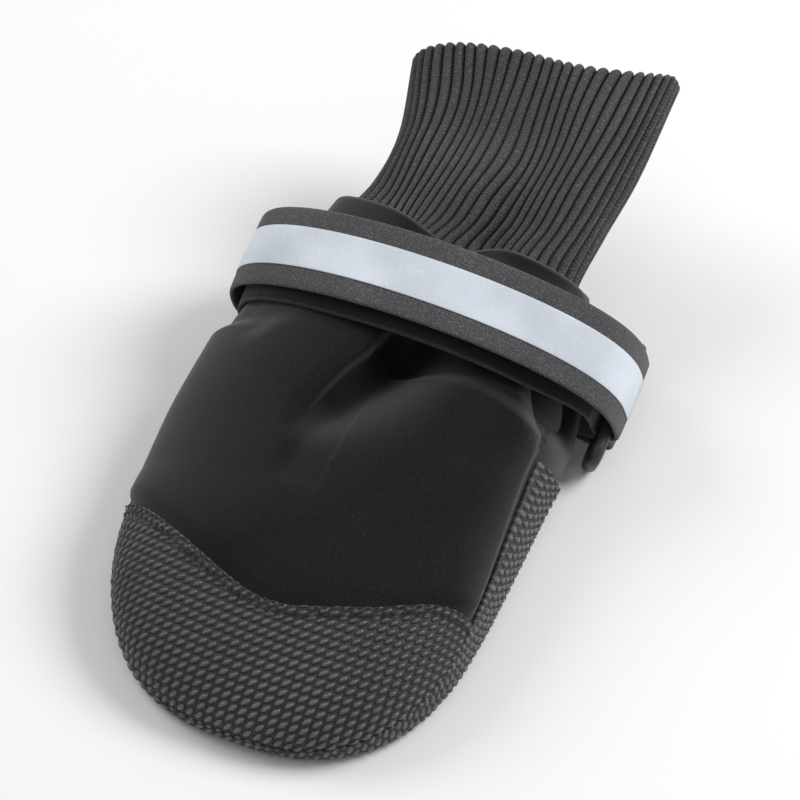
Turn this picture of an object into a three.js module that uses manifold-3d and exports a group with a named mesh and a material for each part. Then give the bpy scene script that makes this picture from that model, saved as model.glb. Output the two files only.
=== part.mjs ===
// Dog boot: a neoprene mitten on a flat rubberised sole, with a toe cap, a rib knit cuff and an
// elastic strap that turns back through a plastic ring. Millimetres, +Z up, toe towards -Y.
// The origin lies on the rest face of the sole, under the middle of the foot.
import * as THREE from 'three';
import { mergeVertices } from 'three/addons/utils/BufferGeometryUtils.js';
import Module from 'manifold-3d';

const wasm = await Module();
wasm.setup();

// Foot
const foot_length = 88.5;          // last, from the toe tip to the rear end of the sole
const toe_overhang = 71.0;         // toe tip of the last in front of the origin
const ball_width = 83.0;
const instep_height = 40.5;
const toe_box_length = 50.0;       // from the toe tip to the widest section
const toe_swing = 2.4;             // the toe leans to +X
const toe_roundness = 2.4;         // exponent of the toe's outline
const toe_tip_share = 0.84;        // height of the tip as a share of the ball's side point
const toe_top_slope = 0.15;        // fall of the toe box towards the tip
const toe_top_curve = 1.25;
const toe_under_curve = 0.9;
// Leg
const shaft_length = 70.0;         // ankle section to the top of the cuff
const ankle_width = 77.0;
const fold_depth = 8.0;            // soft fold down the middle of the instep
const fold_half_width = 8.5;
// Walls and layers
const upper_wall = 2.8;
const cap_wall = 1.1;
const sole_wall = 1.2;
const sole_floor = 2.2;
const insole_thickness = 2.0;
const insole_short = 2.0;          // the insole ends this much before the sole
const inner_drop = 2.5;            // the cavity reaches this much lower over the sole
const cuff_wall = 2.4;
const clearance = 0.3;
const knit_clearance = 0.7;        // the ribs inside the neoprene's faceted cavity
// Outlines of the overlays
const sole_rim_toe = 5.0;
const sole_rim_heel = 23.5;
const sole_rim_curve = 1.0;
const sole_end_low = 3.2;          // the sole's end on the floor, behind the last's rear end
const sole_end_high = 5.4;         // the end of its rim, in front of the last's rear end
const cap_length = 23.0;           // toe tip to the cap's edge on the centre line
const cap_edge_slope = 0.49;
const cap_edge_round = 10.0;
const edge_dip = 2.5;              // dip of the neoprene's top edge in the middle
const edge_dip_half_angle = 0.3;
// Knit
const rib_count = 56;
const rib_depth = 0.5;
// Strap
const strap_width = 20.0;
const strap_thickness = 1.4;
const strap_tilt = THREE.MathUtils.degToRad(20.5);
const strap_half_span = 47.6;
const strap_rise = 31.9;
const strap_layer_gap = 1.6;
const strap_left_inset = 3.2;      // the inner layer stands inside the outer one at the left
const strap_slide = 3.0;           // the inner layer lies this much nearer the toe
const strap_start = -176;          // degrees round the leg, from the instep towards +X
const strap_fold = 88;             // where the strap turns back through the ring
const strap_end = -140;
const reflective_width = 10.0;
const reflective_thickness = 0.3;
// Ring and its loop
const ring_bar = 4.0;
const ring_slot = 4.2;
const ring_length = 32.0;
const ring_corner = 2.4;
const ring_shift = 1.7;            // towards the toe
const ring_drop = 2.2;             // below the strap's middle
const ring_hang = THREE.MathUtils.degToRad(74);
const tab_start = 3.0;             // sewn ends of the loop, from the middle of the leg
const tab_end = 12.0;
// Fineness of the facets
const around_count = 40;
const toe_steps = 8;
const steps_per_row = 2.5;
const cuff_steps = 6;

const half_ball = ball_width / 2;
const half_ankle = ankle_width / 2;
const seat_height = sole_floor + clearance;
const heel_end = foot_length - toe_overhang;
const sole_end = heel_end + sole_end_low;
const insole_end = heel_end - insole_short;
const margin = 10;                 // reach of construction solids past the forms

const smooth = (s) => {
  const k = Math.min(1, Math.max(0, s));
  return k * k * (3 - 2 * k);
};
const mix = (a, b, s) => a + (b - a) * s;

// Sections of the last, from the ball to the top of the cuff. Each is an upright loop through a
// point on the instep, one on the side and one underneath.
// Foot rows: along are shares of foot_length, up shares of instep_height, half shares of half_ball.
// Columns: top_along, top_up, side_along, side_up, half, under_along, under_up, top_round,
// under_round, shift, fold, fold_at, reach, rise.
const foot_rows = [
  [-0.240, 0.716, -0.240, 0.150, 0.998, -0.240, -0.062, 2.5, 4.0, 0.000, 0.00, -0.20, 0, 0],
  [-0.055, 0.790, -0.044, 0.155, 1.010, -0.022, -0.060, 2.5, 4.0, -0.022, 0.12, -0.15, 0, 0],
  [0.109, 0.864, 0.131, 0.175, 1.006, 0.142, -0.005, 2.45, 3.8, -0.020, 0.50, -0.04, 0, 0],
  [0.230, 0.926, 0.284, 0.240, 1.002, 0.306, 0.104, 2.45, 3.6, 0.000, 0.80, 0.05, 0, 0],
];
// Leg rows: along are shares of shaft_length behind the ankle, half shares of half_ankle.
const ankle_along = 0.345 * foot_length;
const leg_rows = [
  [0.000, 1.000, 0.121, 0.345, 1.000, 0.164, 0.225, 2.4, 3.4, 0.020, 1.00, 0.07, 0, 0],
  [0.164, 1.037, 0.279, 0.470, 0.922, 0.350, 0.352, 2.3, 3.0, 0.015, 1.00, 0.08, -0.010, -0.01],
  [0.286, 1.062, 0.400, 0.640, 0.831, 0.507, 0.457, 2.3, 2.6, 0.015, 1.00, 0.08, -0.020, -0.02],
  [0.421, 1.111, 0.564, 0.753, 0.812, 0.664, 0.519, 2.2, 2.4, 0.060, 0.60, 0.06, 0.010, 0.02],
  [0.650, 1.290, 0.760, 0.900, 0.838, 0.874, 0.615, 2.1, 2.2, 0.100, 0.15, 0.04, 0.045, 0.06],
  [0.945, 1.490, 1.020, 1.130, 0.905, 1.110, 0.840, 2.6, 2.4, 0.075, 0.00, 0.04, 0.078, 0.11],
];
const edge_row = foot_rows.length + 2;      // top edge of the neoprene
const cuff_row = foot_rows.length + 5;      // top of the cuff

const sections = [
  ...foot_rows.map((r) => ({
    top: [r[0] * foot_length, r[1] * instep_height],
    side: [r[2] * foot_length, r[3] * instep_height],
    half: r[4] * half_ball,
    under: [r[5] * foot_length, r[6] * instep_height],
    round: [r[7], r[8]],
    shift: r[9] * half_ball,
    fold: [r[10] * fold_depth, r[11] * half_ball],
    slant: [0, 0],
  })),
  ...leg_rows.map((r) => ({
    top: [ankle_along + r[0] * shaft_length, r[1] * instep_height],
    side: [ankle_along + r[2] * shaft_length, r[3] * instep_height],
    half: r[4] * half_ankle,
    under: [ankle_along + r[5] * shaft_length, r[6] * instep_height],
    round: [r[7], r[8]],
    shift: r[9] * half_ankle,
    fold: [r[10] * fold_depth, r[11] * half_ankle],
    slant: [r[12] * shaft_length, r[13] * instep_height],
  })),
].map((s) => [...s.top, ...s.side, s.half, ...s.under, ...s.round, s.shift, ...s.fold, ...s.slant]);

// The section at t, by a Catmull-Rom curve through each column.
function sectionAt(t) {
  const last = sections.length - 1;
  const k = Math.min(last - 1, Math.max(0, Math.floor(t)));
  const s = t - k;
  return sections[0].map((_, c) => {
    const at = (i) => {
      if (i < 0) return 2 * sections[0][c] - sections[1][c];
      if (i > last) return 2 * sections[last][c] - sections[last - 1][c];
      return sections[i][c];
    };
    const [a, b, d, e] = [at(k - 1), at(k), at(k + 1), at(k + 2)];
    return b + 0.5 * s * (d - a + s * (2 * a - 5 * b + 4 * d - e + s * (3 * (b - d) + e - a)));
  });
}

// A rounded square of half size 1, by the angle from its top: [towards the top, towards +X].
function roundedSquare(angle, roundness) {
  const c = Math.cos(angle);
  const s = Math.sin(angle);
  const r = (Math.abs(c) ** roundness + Math.abs(s) ** roundness) ** (-1 / roundness);
  return [r * c, r * s];
}

const swing_start = -toe_overhang / 3;

// Point on the last. t from -1 (toe tip) over 0 (ball) to cuff_row; psi from the instep over +X.
function lastSurface(t, psi) {
  const section = sectionAt(Math.max(0, t));
  const [top_y, top_z, side_y, side_z, half, under_y, under_z] = section;
  const [top_round, under_round, shift, fold, fold_at, reach, rise] = section.slice(7);
  const roundness = mix(top_round, under_round, (1 - Math.cos(psi)) / 2);
  const [up, out] = roundedSquare(psi, roundness);
  let y = side_y + (up * (top_y - under_y)) / 2 + up * up * ((top_y + under_y) / 2 - side_y);
  let z = side_z + (up > 0 ? up * (top_z - side_z) : up * (side_z - under_z));
  let x = half * out;
  if (t < 0) {
    const [ahead, tall] = roundedSquare(((t + 1) * Math.PI) / 2, toe_roundness);
    const depth = toe_box_length * ahead;
    y = side_y - depth;
    x *= tall;
    const side_here = side_z * mix(1, toe_tip_share, ahead * ahead);
    const over = (top_z - side_z - toe_top_slope * depth) * tall ** toe_top_curve;
    const below = (side_z - under_z) * tall ** toe_under_curve;
    z = side_here + up * (up > 0 ? over : below);
  }
  const lean = out * Math.abs(out);
  x += shift;
  y += reach * lean;
  z += rise * lean;
  const swing = toe_swing * smooth((swing_start - y) / (toe_overhang + swing_start));
  const hollow = t > 0 ? fold * Math.exp(-(((x - fold_at) / fold_half_width) ** 2)) * Math.max(0, up) : 0;
  const inward = new THREE.Vector2(top_y - side_y, top_z - side_z).normalize();
  return new THREE.Vector3(x + swing, y - hollow * inward.x, z - hollow * inward.y);
}

// The same point, grown by d along the outward normal.
function grown(t, psi, d) {
  const point = lastSurface(t, psi);
  if (d === 0) return point;
  if (t <= -1) return point.add(new THREE.Vector3(0, -d, 0));
  const e = 1e-3;
  const along = lastSurface(t + e, psi).sub(lastSurface(Math.max(-1, t - e), psi));
  const around = lastSurface(t, psi + e).sub(lastSurface(t, psi - e));
  return point.addScaledVector(around.cross(along).normalize(), d);
}

// Closed mesh from rows of points. Each row is a loop; the ends are closed by fans, or the last row
// meets the first one.
function loopsToGeometry(loops, ring = false) {
  const count = loops[0].length;
  const points = loops.flat();
  const faces = [];
  const rows = ring ? loops.length : loops.length - 1;
  for (let i = 0; i < rows; i++) {
    const next = (i + 1) % loops.length;
    for (let j = 0; j < count; j++) {
      const k = (j + 1) % count;
      const [a, b, c, d] = [i * count + j, i * count + k, next * count + k, next * count + j];
      faces.push(a, b, c, a, c, d);
    }
  }
  if (!ring) {
    [0, loops.length - 1].forEach((i) => {
      const middle = loops[i].reduce((sum, p) => sum.add(p), new THREE.Vector3()).divideScalar(count);
      points.push(middle);
      for (let j = 0; j < count; j++) {
        const [a, b] = [i * count + j, i * count + ((j + 1) % count)];
        faces.push(...(i === 0 ? [points.length - 1, b, a] : [points.length - 1, a, b]));
      }
    });
  }
  const geometry = new THREE.BufferGeometry().setFromPoints(points);
  geometry.setIndex(faces);
  return geometry;
}

// Geometry whose faces point outwards, whichever way its rows ran.
function outward(geometry) {
  const p = geometry.attributes.position;
  const index = geometry.index.array;
  const [a, b, c] = [new THREE.Vector3(), new THREE.Vector3(), new THREE.Vector3()];
  let volume = 0;
  for (let i = 0; i < index.length; i += 3) {
    a.fromBufferAttribute(p, index[i]);
    b.fromBufferAttribute(p, index[i + 1]);
    c.fromBufferAttribute(p, index[i + 2]);
    volume += a.dot(b.cross(c));
  }
  if (volume < 0) {
    for (let i = 0; i < index.length; i += 3) {
      [index[i + 1], index[i + 2]] = [index[i + 2], index[i + 1]];
    }
  }
  return geometry;
}

function toManifold(geometry) {
  const bare = geometry.clone();
  bare.deleteAttribute('normal');
  bare.deleteAttribute('uv');
  const merged = outward(mergeVertices(bare, 1e-4));
  const index = Array.from(merged.index.array);
  const kept = [];
  for (let i = 0; i < index.length; i += 3) {
    const [a, b, c] = index.slice(i, i + 3);
    if (a !== b && b !== c && c !== a) kept.push(a, b, c);
  }
  return new wasm.Manifold(new wasm.Mesh({
    numProp: 3,
    vertProperties: new Float32Array(merged.attributes.position.array),
    triVerts: new Uint32Array(kept),
  }));
}

function toGeometry(solid) {
  const mesh = solid.getMesh();
  const geometry = new THREE.BufferGeometry();
  geometry.setAttribute('position', new THREE.BufferAttribute(new Float32Array(mesh.vertProperties), 3));
  geometry.setIndex(new THREE.BufferAttribute(new Uint32Array(mesh.triVerts), 1));
  return geometry;
}

// The last as a solid, grown by d, from the toe to the neoprene's top edge or past it in rows.
const edge_blend = 2;              // rows over which the steps bend to the top edge
const tip_share = 0.02;            // size of the first loop at the tip
function form(d, past = 0) {
  const steps = [];
  for (let i = 1; i <= toe_steps; i++) steps.push(i / toe_steps - 1);
  for (let i = 1; i <= edge_row * steps_per_row; i++) steps.push(i / steps_per_row);
  const turn = (j) => (2 * Math.PI * j) / around_count;
  const loops = steps.map((t) => Array.from({ length: around_count }, (_, j) => {
    const share = smooth((t - edge_row + edge_blend) / edge_blend);
    return grown(mix(t, topEdge(turn(j)) + past, share), turn(j), d);
  }));
  const tip = grown(-1, 0, d);
  loops.unshift(loops[0].map((p) => tip.clone().lerp(p, tip_share)));
  return toManifold(loopsToGeometry(loops));
}

// Where the neoprene ends, in rows: a dip in the middle of the instep.
function topEdge(psi) {
  const dip = edge_dip / ((leg_rows[2][2] - leg_rows[1][2]) * shaft_length);
  const off_middle = (psi > Math.PI ? psi - 2 * Math.PI : psi) / edge_dip_half_angle;
  return edge_row - dip * Math.exp(-(off_middle ** 2));
}

// A prism from a side view outline [[y, z], ...] across the whole width.
const far = 3 * ball_width;
function sidePrism(outline) {
  const shape = new THREE.Shape(outline.map(([y, z]) => new THREE.Vector2(y, z)));
  const geometry = new THREE.ExtrudeGeometry(shape, { depth: 2 * far, bevelEnabled: false });
  const [x_axis, y_axis, z_axis] = [0, 1, 2].map((i) => new THREE.Vector3().setComponent(i, 1));
  geometry.applyMatrix4(new THREE.Matrix4().makeBasis(y_axis, z_axis, x_axis));
  geometry.translate(-far, 0, 0);
  return toManifold(geometry);
}

// Height of the sole's turned up edge, by the place along the foot.
const rimHeight = (y) => {
  const share = (y + toe_overhang) / foot_length;
  return mix(sole_rim_toe, sole_rim_heel, Math.max(0, share) ** sole_rim_curve);
};

// Everything below the rim, raised by lift, as far back as end at the bottom and rim_end at the rim.
function underRim(lift, bottom, end, rim_end = end) {
  const count = 16;
  const start = -toe_overhang - margin;
  const rim = Array.from({ length: count + 1 }, (_, i) => mix(start, rim_end, i / count))
    .map((y) => [y, rimHeight(y) + lift]);
  return sidePrism([[start, bottom], [end, bottom], ...rim.reverse()]);
}

// Everything in front of the toe cap's rear edge, a rounded V in plan.
function capPlan() {
  const count = 28;
  const reach = half_ball + margin;
  const edge = Array.from({ length: count + 1 }, (_, i) => mix(reach, -reach, i / count)).map((x) => {
    const rise = Math.hypot(x - toe_swing / 2, cap_edge_round) - cap_edge_round;
    return new THREE.Vector2(x, cap_length - toe_overhang + cap_edge_slope * rise);
  });
  const front = -toe_overhang - margin;
  const shape = new THREE.Shape([new THREE.Vector2(-reach, front), new THREE.Vector2(reach, front), ...edge]);
  return toManifold(new THREE.ExtrudeGeometry(shape, { depth: 2 * instep_height, bevelEnabled: false }));
}

// Side outline of everything from bottom to top, as far back as end.
const slab = (bottom, top, end) => sidePrism([[-far, bottom], [end, bottom], [end, top], [-far, top]]);

const past_edge = 0.6;             // rows by which the cavity passes the top edge

function makeUpper() {
  const over_sole = slab(-far, instep_height / 3, insole_end + clearance);
  const cavity = form(-upper_wall, past_edge);
  const lower_cavity = form(-upper_wall).translate([0, 0, -inner_drop]).intersect(over_sole);
  const seat = slab(-far, seat_height, sole_end + clearance);
  return form(0).subtract(cavity).subtract(lower_cavity).subtract(seat);
}

function makeSole() {
  const under_rim = underRim(0, 0, sole_end, heel_end - sole_end_high);
  const outer = form(clearance + sole_wall).intersect(under_rim);
  return outer.subtract(form(clearance).intersect(slab(sole_floor, far, far)));
}

function makeCap() {
  const skin = form(clearance + cap_wall).subtract(form(clearance));
  return skin.intersect(capPlan()).subtract(underRim(clearance, -far, far));
}

function makeInsole() {
  const layer = slab(seat_height, seat_height + insole_thickness, insole_end);
  return form(-upper_wall - clearance).translate([0, 0, -inner_drop]).intersect(layer);
}

// Rib knit tube: hidden lower end inside the neoprene, ribs outside, smooth inside.
const cuff_overlap = 0.8;          // rows of the cuff inside the neoprene
function makeCuff() {
  const columns = 2 * rib_count;
  const steps = Array.from({ length: cuff_steps + 1 }, (_, i) =>
    mix(edge_row - cuff_overlap, cuff_row, i / cuff_steps));
  const outside = upper_wall + knit_clearance;
  const loop = (t, d, rib) => Array.from({ length: columns }, (_, j) =>
    grown(t, (2 * Math.PI * j) / columns, -d - (j % 2) * rib));
  const outer = steps.map((t) => loop(t, outside, rib_depth));
  const inner = steps.map((t) => loop(t, outside + cuff_wall, 0)).reverse();
  return loopsToGeometry([...outer, ...inner], true);
}

// The strap lies in a plane tilted like the leg. A point of that plane is given by x and by its
// height up the plane; the strap's width runs along strap_axis.
const strap_middle = new THREE.Vector3(
  0.05 * half_ball,
  ankle_along + 0.162 * shaft_length,
  0.42 * instep_height,
);
const strap_axis = new THREE.Vector3(0, Math.cos(strap_tilt), Math.sin(strap_tilt));
const strap_up = new THREE.Vector3(0, -Math.sin(strap_tilt), Math.cos(strap_tilt));
const inStrapPlane = ([x, up], along = 0) => strap_middle.clone()
  .addScaledVector(strap_up, up)
  .addScaledVector(strap_axis, along)
  .add(new THREE.Vector3(x, 0, 0));

// The neoprene inside the strap, seen along the strap's axis: direction from the top and radius.
const surrounded = [];
for (let t = 2; t <= edge_row; t += 0.1) {
  for (let j = 0; j < 120; j++) {
    const rel = lastSurface(t, (j * Math.PI) / 60).sub(strap_middle);
    const up = rel.dot(strap_up);
    if (Math.abs(rel.dot(strap_axis)) > strap_width / 2 + strap_slide) continue;
    surrounded.push({ angle: Math.atan2(rel.x, up), radius: Math.hypot(rel.x, up), up });
  }
}
const search_angle = 0.07;
function radiusAt(angle) {
  const near = surrounded.filter((s) => Math.cos(s.angle - angle) > Math.cos(search_angle));
  return Math.max(...near.map((s) => s.radius));
}

const half_layer = strap_thickness / 2;
const next_layer = strap_thickness + clearance;
const under_up = Math.min(...surrounded.map((s) => s.up)) - clearance - half_layer;

// Point of a strap layer round the leg, moved outwards where the neoprene would be in its way.
const strap_top_round = 2.15;
const strap_under_round = 3.0;
function layerPoint(degrees, half, up, under, gap) {
  const psi = THREE.MathUtils.degToRad(degrees);
  const [c, s] = roundedSquare(psi, mix(strap_top_round, strap_under_round, (1 - Math.cos(psi)) / 2));
  const point = new THREE.Vector2(half * s, c > 0 ? c * up : -c * under);
  const least = radiusAt(Math.atan2(point.x, point.y)) + gap;
  return point.setLength(Math.max(point.length(), least)).toArray();
}

const fold_radius = ring_bar / 2 + clearance + half_layer;
const bar_pitch = ring_bar + ring_slot;
const bar_near = [strap_half_span - fold_radius, -ring_drop];
const bar_far = [
  bar_near[0] - bar_pitch * Math.cos(ring_hang),
  bar_near[1] - bar_pitch * Math.sin(ring_hang),
];

// Part of a circle of the strap or tab around a bar, from angle a to angle b.
const bend = (centre, a, b, count) => Array.from({ length: count + 1 }, (_, i) => {
  const angle = mix(a, b, i / count);
  return [centre[0] + fold_radius * Math.cos(angle), centre[1] + fold_radius * Math.sin(angle)];
});
const spread = (from, to, count) => Array.from({ length: count + 1 }, (_, i) => mix(from, to, i / count));

const inner_rise = strap_rise - strap_thickness - strap_layer_gap;
const inner_left = strap_half_span - strap_left_inset;
const inner_right = bar_near[0] - fold_radius;
const inner_layer = spread(strap_start, strap_fold, 30).map((degrees) => {
  const share = (Math.sin(THREE.MathUtils.degToRad(degrees)) + 1) / 2;
  const half = mix(inner_left, inner_right, smooth(share));
  return layerPoint(degrees, half, inner_rise, under_up, clearance + half_layer);
});
const outer_gap = next_layer + clearance + half_layer;
const outer_layer = spread(strap_fold, strap_end, 26).map((degrees) =>
  layerPoint(degrees, strap_half_span, strap_rise, under_up - next_layer, outer_gap));

// Band of a given width and thickness along a path in the strap's plane. Offset moves it off the
// path, slide moves it along the strap's axis by the share of the path.
function band(path, width, thickness, offset = 0, slide = () => 0) {
  const loops = path.map((p, i) => {
    const before = path[Math.max(0, i - 1)];
    const after = path[Math.min(path.length - 1, i + 1)];
    const run = new THREE.Vector2(after[0] - before[0], after[1] - before[1]).normalize();
    const corners = [[1, 1], [-1, 1], [-1, -1], [1, -1]];
    return corners.map(([side, face]) => {
      const reach = offset + (face * thickness) / 2;
      const at = [p[0] - run.y * reach, p[1] + run.x * reach];
      return inStrapPlane(at, (side * width) / 2 + slide(i / (path.length - 1)));
    });
  });
  return loopsToGeometry(loops);
}

function makeStrap() {
  const turn = bend(bar_near, Math.PI, 2 * Math.PI, 8);
  const path = [...inner_layer, ...turn, ...outer_layer];
  const turn_share = inner_layer.length / path.length;
  const toe_ward = (share) => {
    const s = share / turn_share;
    return -strap_slide * smooth(4 * s) * smooth(5 * (1 - s));
  };
  return band(path, strap_width, strap_thickness, 0, toe_ward);
}

function makeReflective() {
  const path = [[strap_half_span, -ring_drop], ...outer_layer];
  const outside = -(half_layer + clearance + reflective_thickness / 2);
  return band(path, reflective_width, reflective_thickness, outside);
}

// Short webbing loop that holds the ring: sewn under the ankle, round the far bar and back.
function makeTab() {
  const turn = bend(bar_far, (2 / 3) * Math.PI, -Math.PI / 2, 9);
  const leave = bar_far[0] - 2 * bar_pitch;
  const lower_up = under_up - next_layer;
  const upper_run = [[tab_start, under_up], [(tab_start + leave) / 2, under_up], [leave, under_up]];
  const lower_run = [[leave + bar_pitch, lower_up - clearance], [leave, lower_up], [tab_end, lower_up]];
  return band([...upper_run, ...turn, ...lower_run], strap_width, strap_thickness);
}

// Rectangular ring: a round bar along a rounded rectangle through both bars.
function makeRing() {
  const half_bar = ring_bar / 2;
  const ends = [-1, 1].map((side) => side * (ring_length / 2 - half_bar) - ring_shift);
  const corners = [[0, ends[0]], [bar_pitch, ends[0]], [bar_pitch, ends[1]], [0, ends[1]]];
  const path = corners.flatMap(([across, along], i) => {
    const inward = [across > 0 ? -ring_corner : ring_corner, along < 0 ? ring_corner : -ring_corner];
    return spread(1 + i / 2, 1.5 + i / 2, 4).map((turn) => [
      across + inward[0] + ring_corner * Math.cos(turn * Math.PI),
      along + inward[1] + ring_corner * Math.sin(turn * Math.PI),
    ]);
  });
  const across_axis = new THREE.Vector3(bar_far[0] - bar_near[0], 0, 0)
    .addScaledVector(strap_up, bar_far[1] - bar_near[1])
    .normalize();
  const normal = across_axis.clone().cross(strap_axis);
  const sides = 8;
  const loops = path.map((p, i) => {
    const before = path[(i + path.length - 1) % path.length];
    const after = path[(i + 1) % path.length];
    const run = new THREE.Vector2(after[0] - before[0], after[1] - before[1]).normalize();
    const centre = inStrapPlane(bar_near)
      .addScaledVector(across_axis, p[0])
      .addScaledVector(strap_axis, p[1]);
    const out = across_axis.clone().multiplyScalar(run.y).addScaledVector(strap_axis, -run.x);
    return Array.from({ length: sides }, (_, j) => {
      const angle = (2 * Math.PI * (j + 0.5)) / sides;
      return centre.clone()
        .addScaledVector(out, half_bar * Math.cos(angle))
        .addScaledVector(normal, half_bar * Math.sin(angle));
    });
  });
  return loopsToGeometry(loops, true);
}

const neoprene = { color: 0x1f1d1e, roughness: 0.95, metalness: 0 };
const dotted = { color: 0x33373a, roughness: 0.6, metalness: 0 };
const knit = { color: 0x3a3a3c, roughness: 1, metalness: 0 };
const webbing = { color: 0x38383a, roughness: 0.9, metalness: 0 };
const silver = { color: 0xc9cdd6, roughness: 0.5, metalness: 0.1 };
const plastic = { color: 0x141414, roughness: 0.4, metalness: 0 };
const foam = { color: 0x2a2a2a, roughness: 1, metalness: 0 };

const boot = new THREE.Group();
function add(name, geometry, look) {
  const mesh = new THREE.Mesh(outward(geometry), new THREE.MeshStandardMaterial(look));
  mesh.name = name;
  boot.add(mesh);
}

add('upper', toGeometry(makeUpper()), neoprene);
add('outsole', toGeometry(makeSole()), dotted);
add('toe_cap', toGeometry(makeCap()), dotted);
add('insole', toGeometry(makeInsole()), foam);
add('knit_cuff', makeCuff(), knit);
add('strap', makeStrap(), webbing);
add('reflective_strip', makeReflective(), silver);
add('strap_ring', makeRing(), plastic);
add('ring_tab', makeTab(), webbing);

export default boot;
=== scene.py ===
"""Dog boot: neoprene upper, dotted toe cap and sole, rib knit cuff, elastic strap with a ring.

Lengths are millimetres inside the surface functions and metres in the meshes and properties.
"""
import math
from types import SimpleNamespace

import bpy
import numpy as np
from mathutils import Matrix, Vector


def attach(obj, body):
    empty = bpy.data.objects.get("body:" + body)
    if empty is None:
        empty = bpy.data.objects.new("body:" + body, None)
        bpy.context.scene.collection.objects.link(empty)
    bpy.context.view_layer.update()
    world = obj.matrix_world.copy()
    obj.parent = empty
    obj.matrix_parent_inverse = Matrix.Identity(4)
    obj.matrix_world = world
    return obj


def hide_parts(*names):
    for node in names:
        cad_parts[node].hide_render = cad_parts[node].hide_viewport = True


bl_info = {
    "name": "Dog boot",
    "version": (1, 0, 0),
    "blender": (4, 5, 0),
    "location": "3D View > Sidebar > Dog boot",
    "description": "Builds the visible pieces of a soft dog boot over its packed solids",
    "category": "Add Mesh",
}

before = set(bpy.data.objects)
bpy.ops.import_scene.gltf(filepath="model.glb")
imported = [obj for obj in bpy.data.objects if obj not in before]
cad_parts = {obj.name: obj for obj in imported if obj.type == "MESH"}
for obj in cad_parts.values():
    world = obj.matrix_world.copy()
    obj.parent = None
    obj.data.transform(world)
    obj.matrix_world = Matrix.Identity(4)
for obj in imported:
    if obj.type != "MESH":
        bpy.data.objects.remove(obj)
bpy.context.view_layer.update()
MM = 0.001
TAU = 2 * math.pi
BOOT_MIDDLE = (4.7, 14.1, 24.2)

# Sections of the last from the ball to the top of the cuff, as shares of the named sizes.
# Columns: top_along, top_up, side_along, side_up, half, under_along, under_up, top_round,
# under_round, shift, fold, fold_at, reach, rise.
FOOT_ROWS = np.array([
    [-0.240, 0.716, -0.240, 0.150, 0.998, -0.240, -0.062, 2.5, 4.0, 0.000, 0.00, -0.20, 0, 0],
    [-0.055, 0.790, -0.044, 0.155, 1.010, -0.022, -0.060, 2.5, 4.0, -0.022, 0.12, -0.15, 0, 0],
    [0.109, 0.864, 0.131, 0.175, 1.006, 0.142, -0.005, 2.45, 3.8, -0.020, 0.50, -0.04, 0, 0],
    [0.230, 0.926, 0.284, 0.240, 1.002, 0.306, 0.104, 2.45, 3.6, 0.000, 0.80, 0.05, 0, 0],
])
LEG_ROWS = np.array([
    [0.000, 1.000, 0.121, 0.345, 1.000, 0.164, 0.225, 2.4, 3.4, 0.020, 1.00, 0.07, 0, 0],
    [0.164, 1.037, 0.279, 0.470, 0.922, 0.350, 0.352, 2.3, 3.0, 0.015, 1.00, 0.08, -0.010, -0.01],
    [0.286, 1.062, 0.400, 0.640, 0.831, 0.507, 0.457, 2.3, 2.6, 0.015, 1.00, 0.08, -0.020, -0.02],
    [0.421, 1.111, 0.564, 0.753, 0.812, 0.664, 0.519, 2.2, 2.4, 0.060, 0.60, 0.06, 0.010, 0.02],
    [0.650, 1.290, 0.760, 0.900, 0.838, 0.874, 0.615, 2.1, 2.2, 0.100, 0.15, 0.04, 0.045, 0.06],
    [0.945, 1.490, 1.020, 1.130, 0.905, 1.110, 0.840, 2.6, 2.4, 0.075, 0.00, 0.04, 0.078, 0.11],
])
ANKLE_ALONG = 0.345
EDGE_ROW = len(FOOT_ROWS) + 2
CUFF_ROW = len(FOOT_ROWS) + 5

# Creases of the neoprene, given one by one: points as rows and angles of the last, depth as a share of
# the fold's depth, and half widths to the left and right of the line as seen along it, as shares of
# the fold's half width.
CREASES = [
    # lower end of the instep fold, from the strap towards the toe
    ([(3.9, 0.02), (3.3, 0.0), (2.5, -0.04), (1.7, -0.13), (1.1, -0.20), (0.55, -0.24)], 0.36, 0.80, 0.34),
    # behind the soft right corner of the front panel
    ([(3.15, 0.72), (3.34, 0.90), (3.40, 1.08), (3.26, 1.26), (2.80, 1.46)], 0.85, 0.42, 1.10),
    # shallow pull at the left, under the strap
    ([(3.2, -1.10), (2.7, -0.80), (2.2, -0.62)], 0.14, 0.70, 0.50),
]
# Soft swells of the neoprene: row and angle of the last, radius as a share of half the ball width,
# height as a share of the fold's depth.
SWELLS = [
    (2.2, -0.62, 0.42, 0.16),
    (2.75, 1.05, 0.20, 0.12),
    (0.2, 0.10, 0.55, 0.05),
]


def length(name, description, default, **more):
    """A size property in metres, from a default in millimetres."""
    return bpy.props.FloatProperty(
        name=name, description=description, default=default * MM, unit="LENGTH", precision=5, **more)


def colour(name, description, default):
    """A colour property."""
    return bpy.props.FloatVectorProperty(
        name=name, description=description, default=default, subtype="COLOR", size=3, min=0, max=1)


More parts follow.
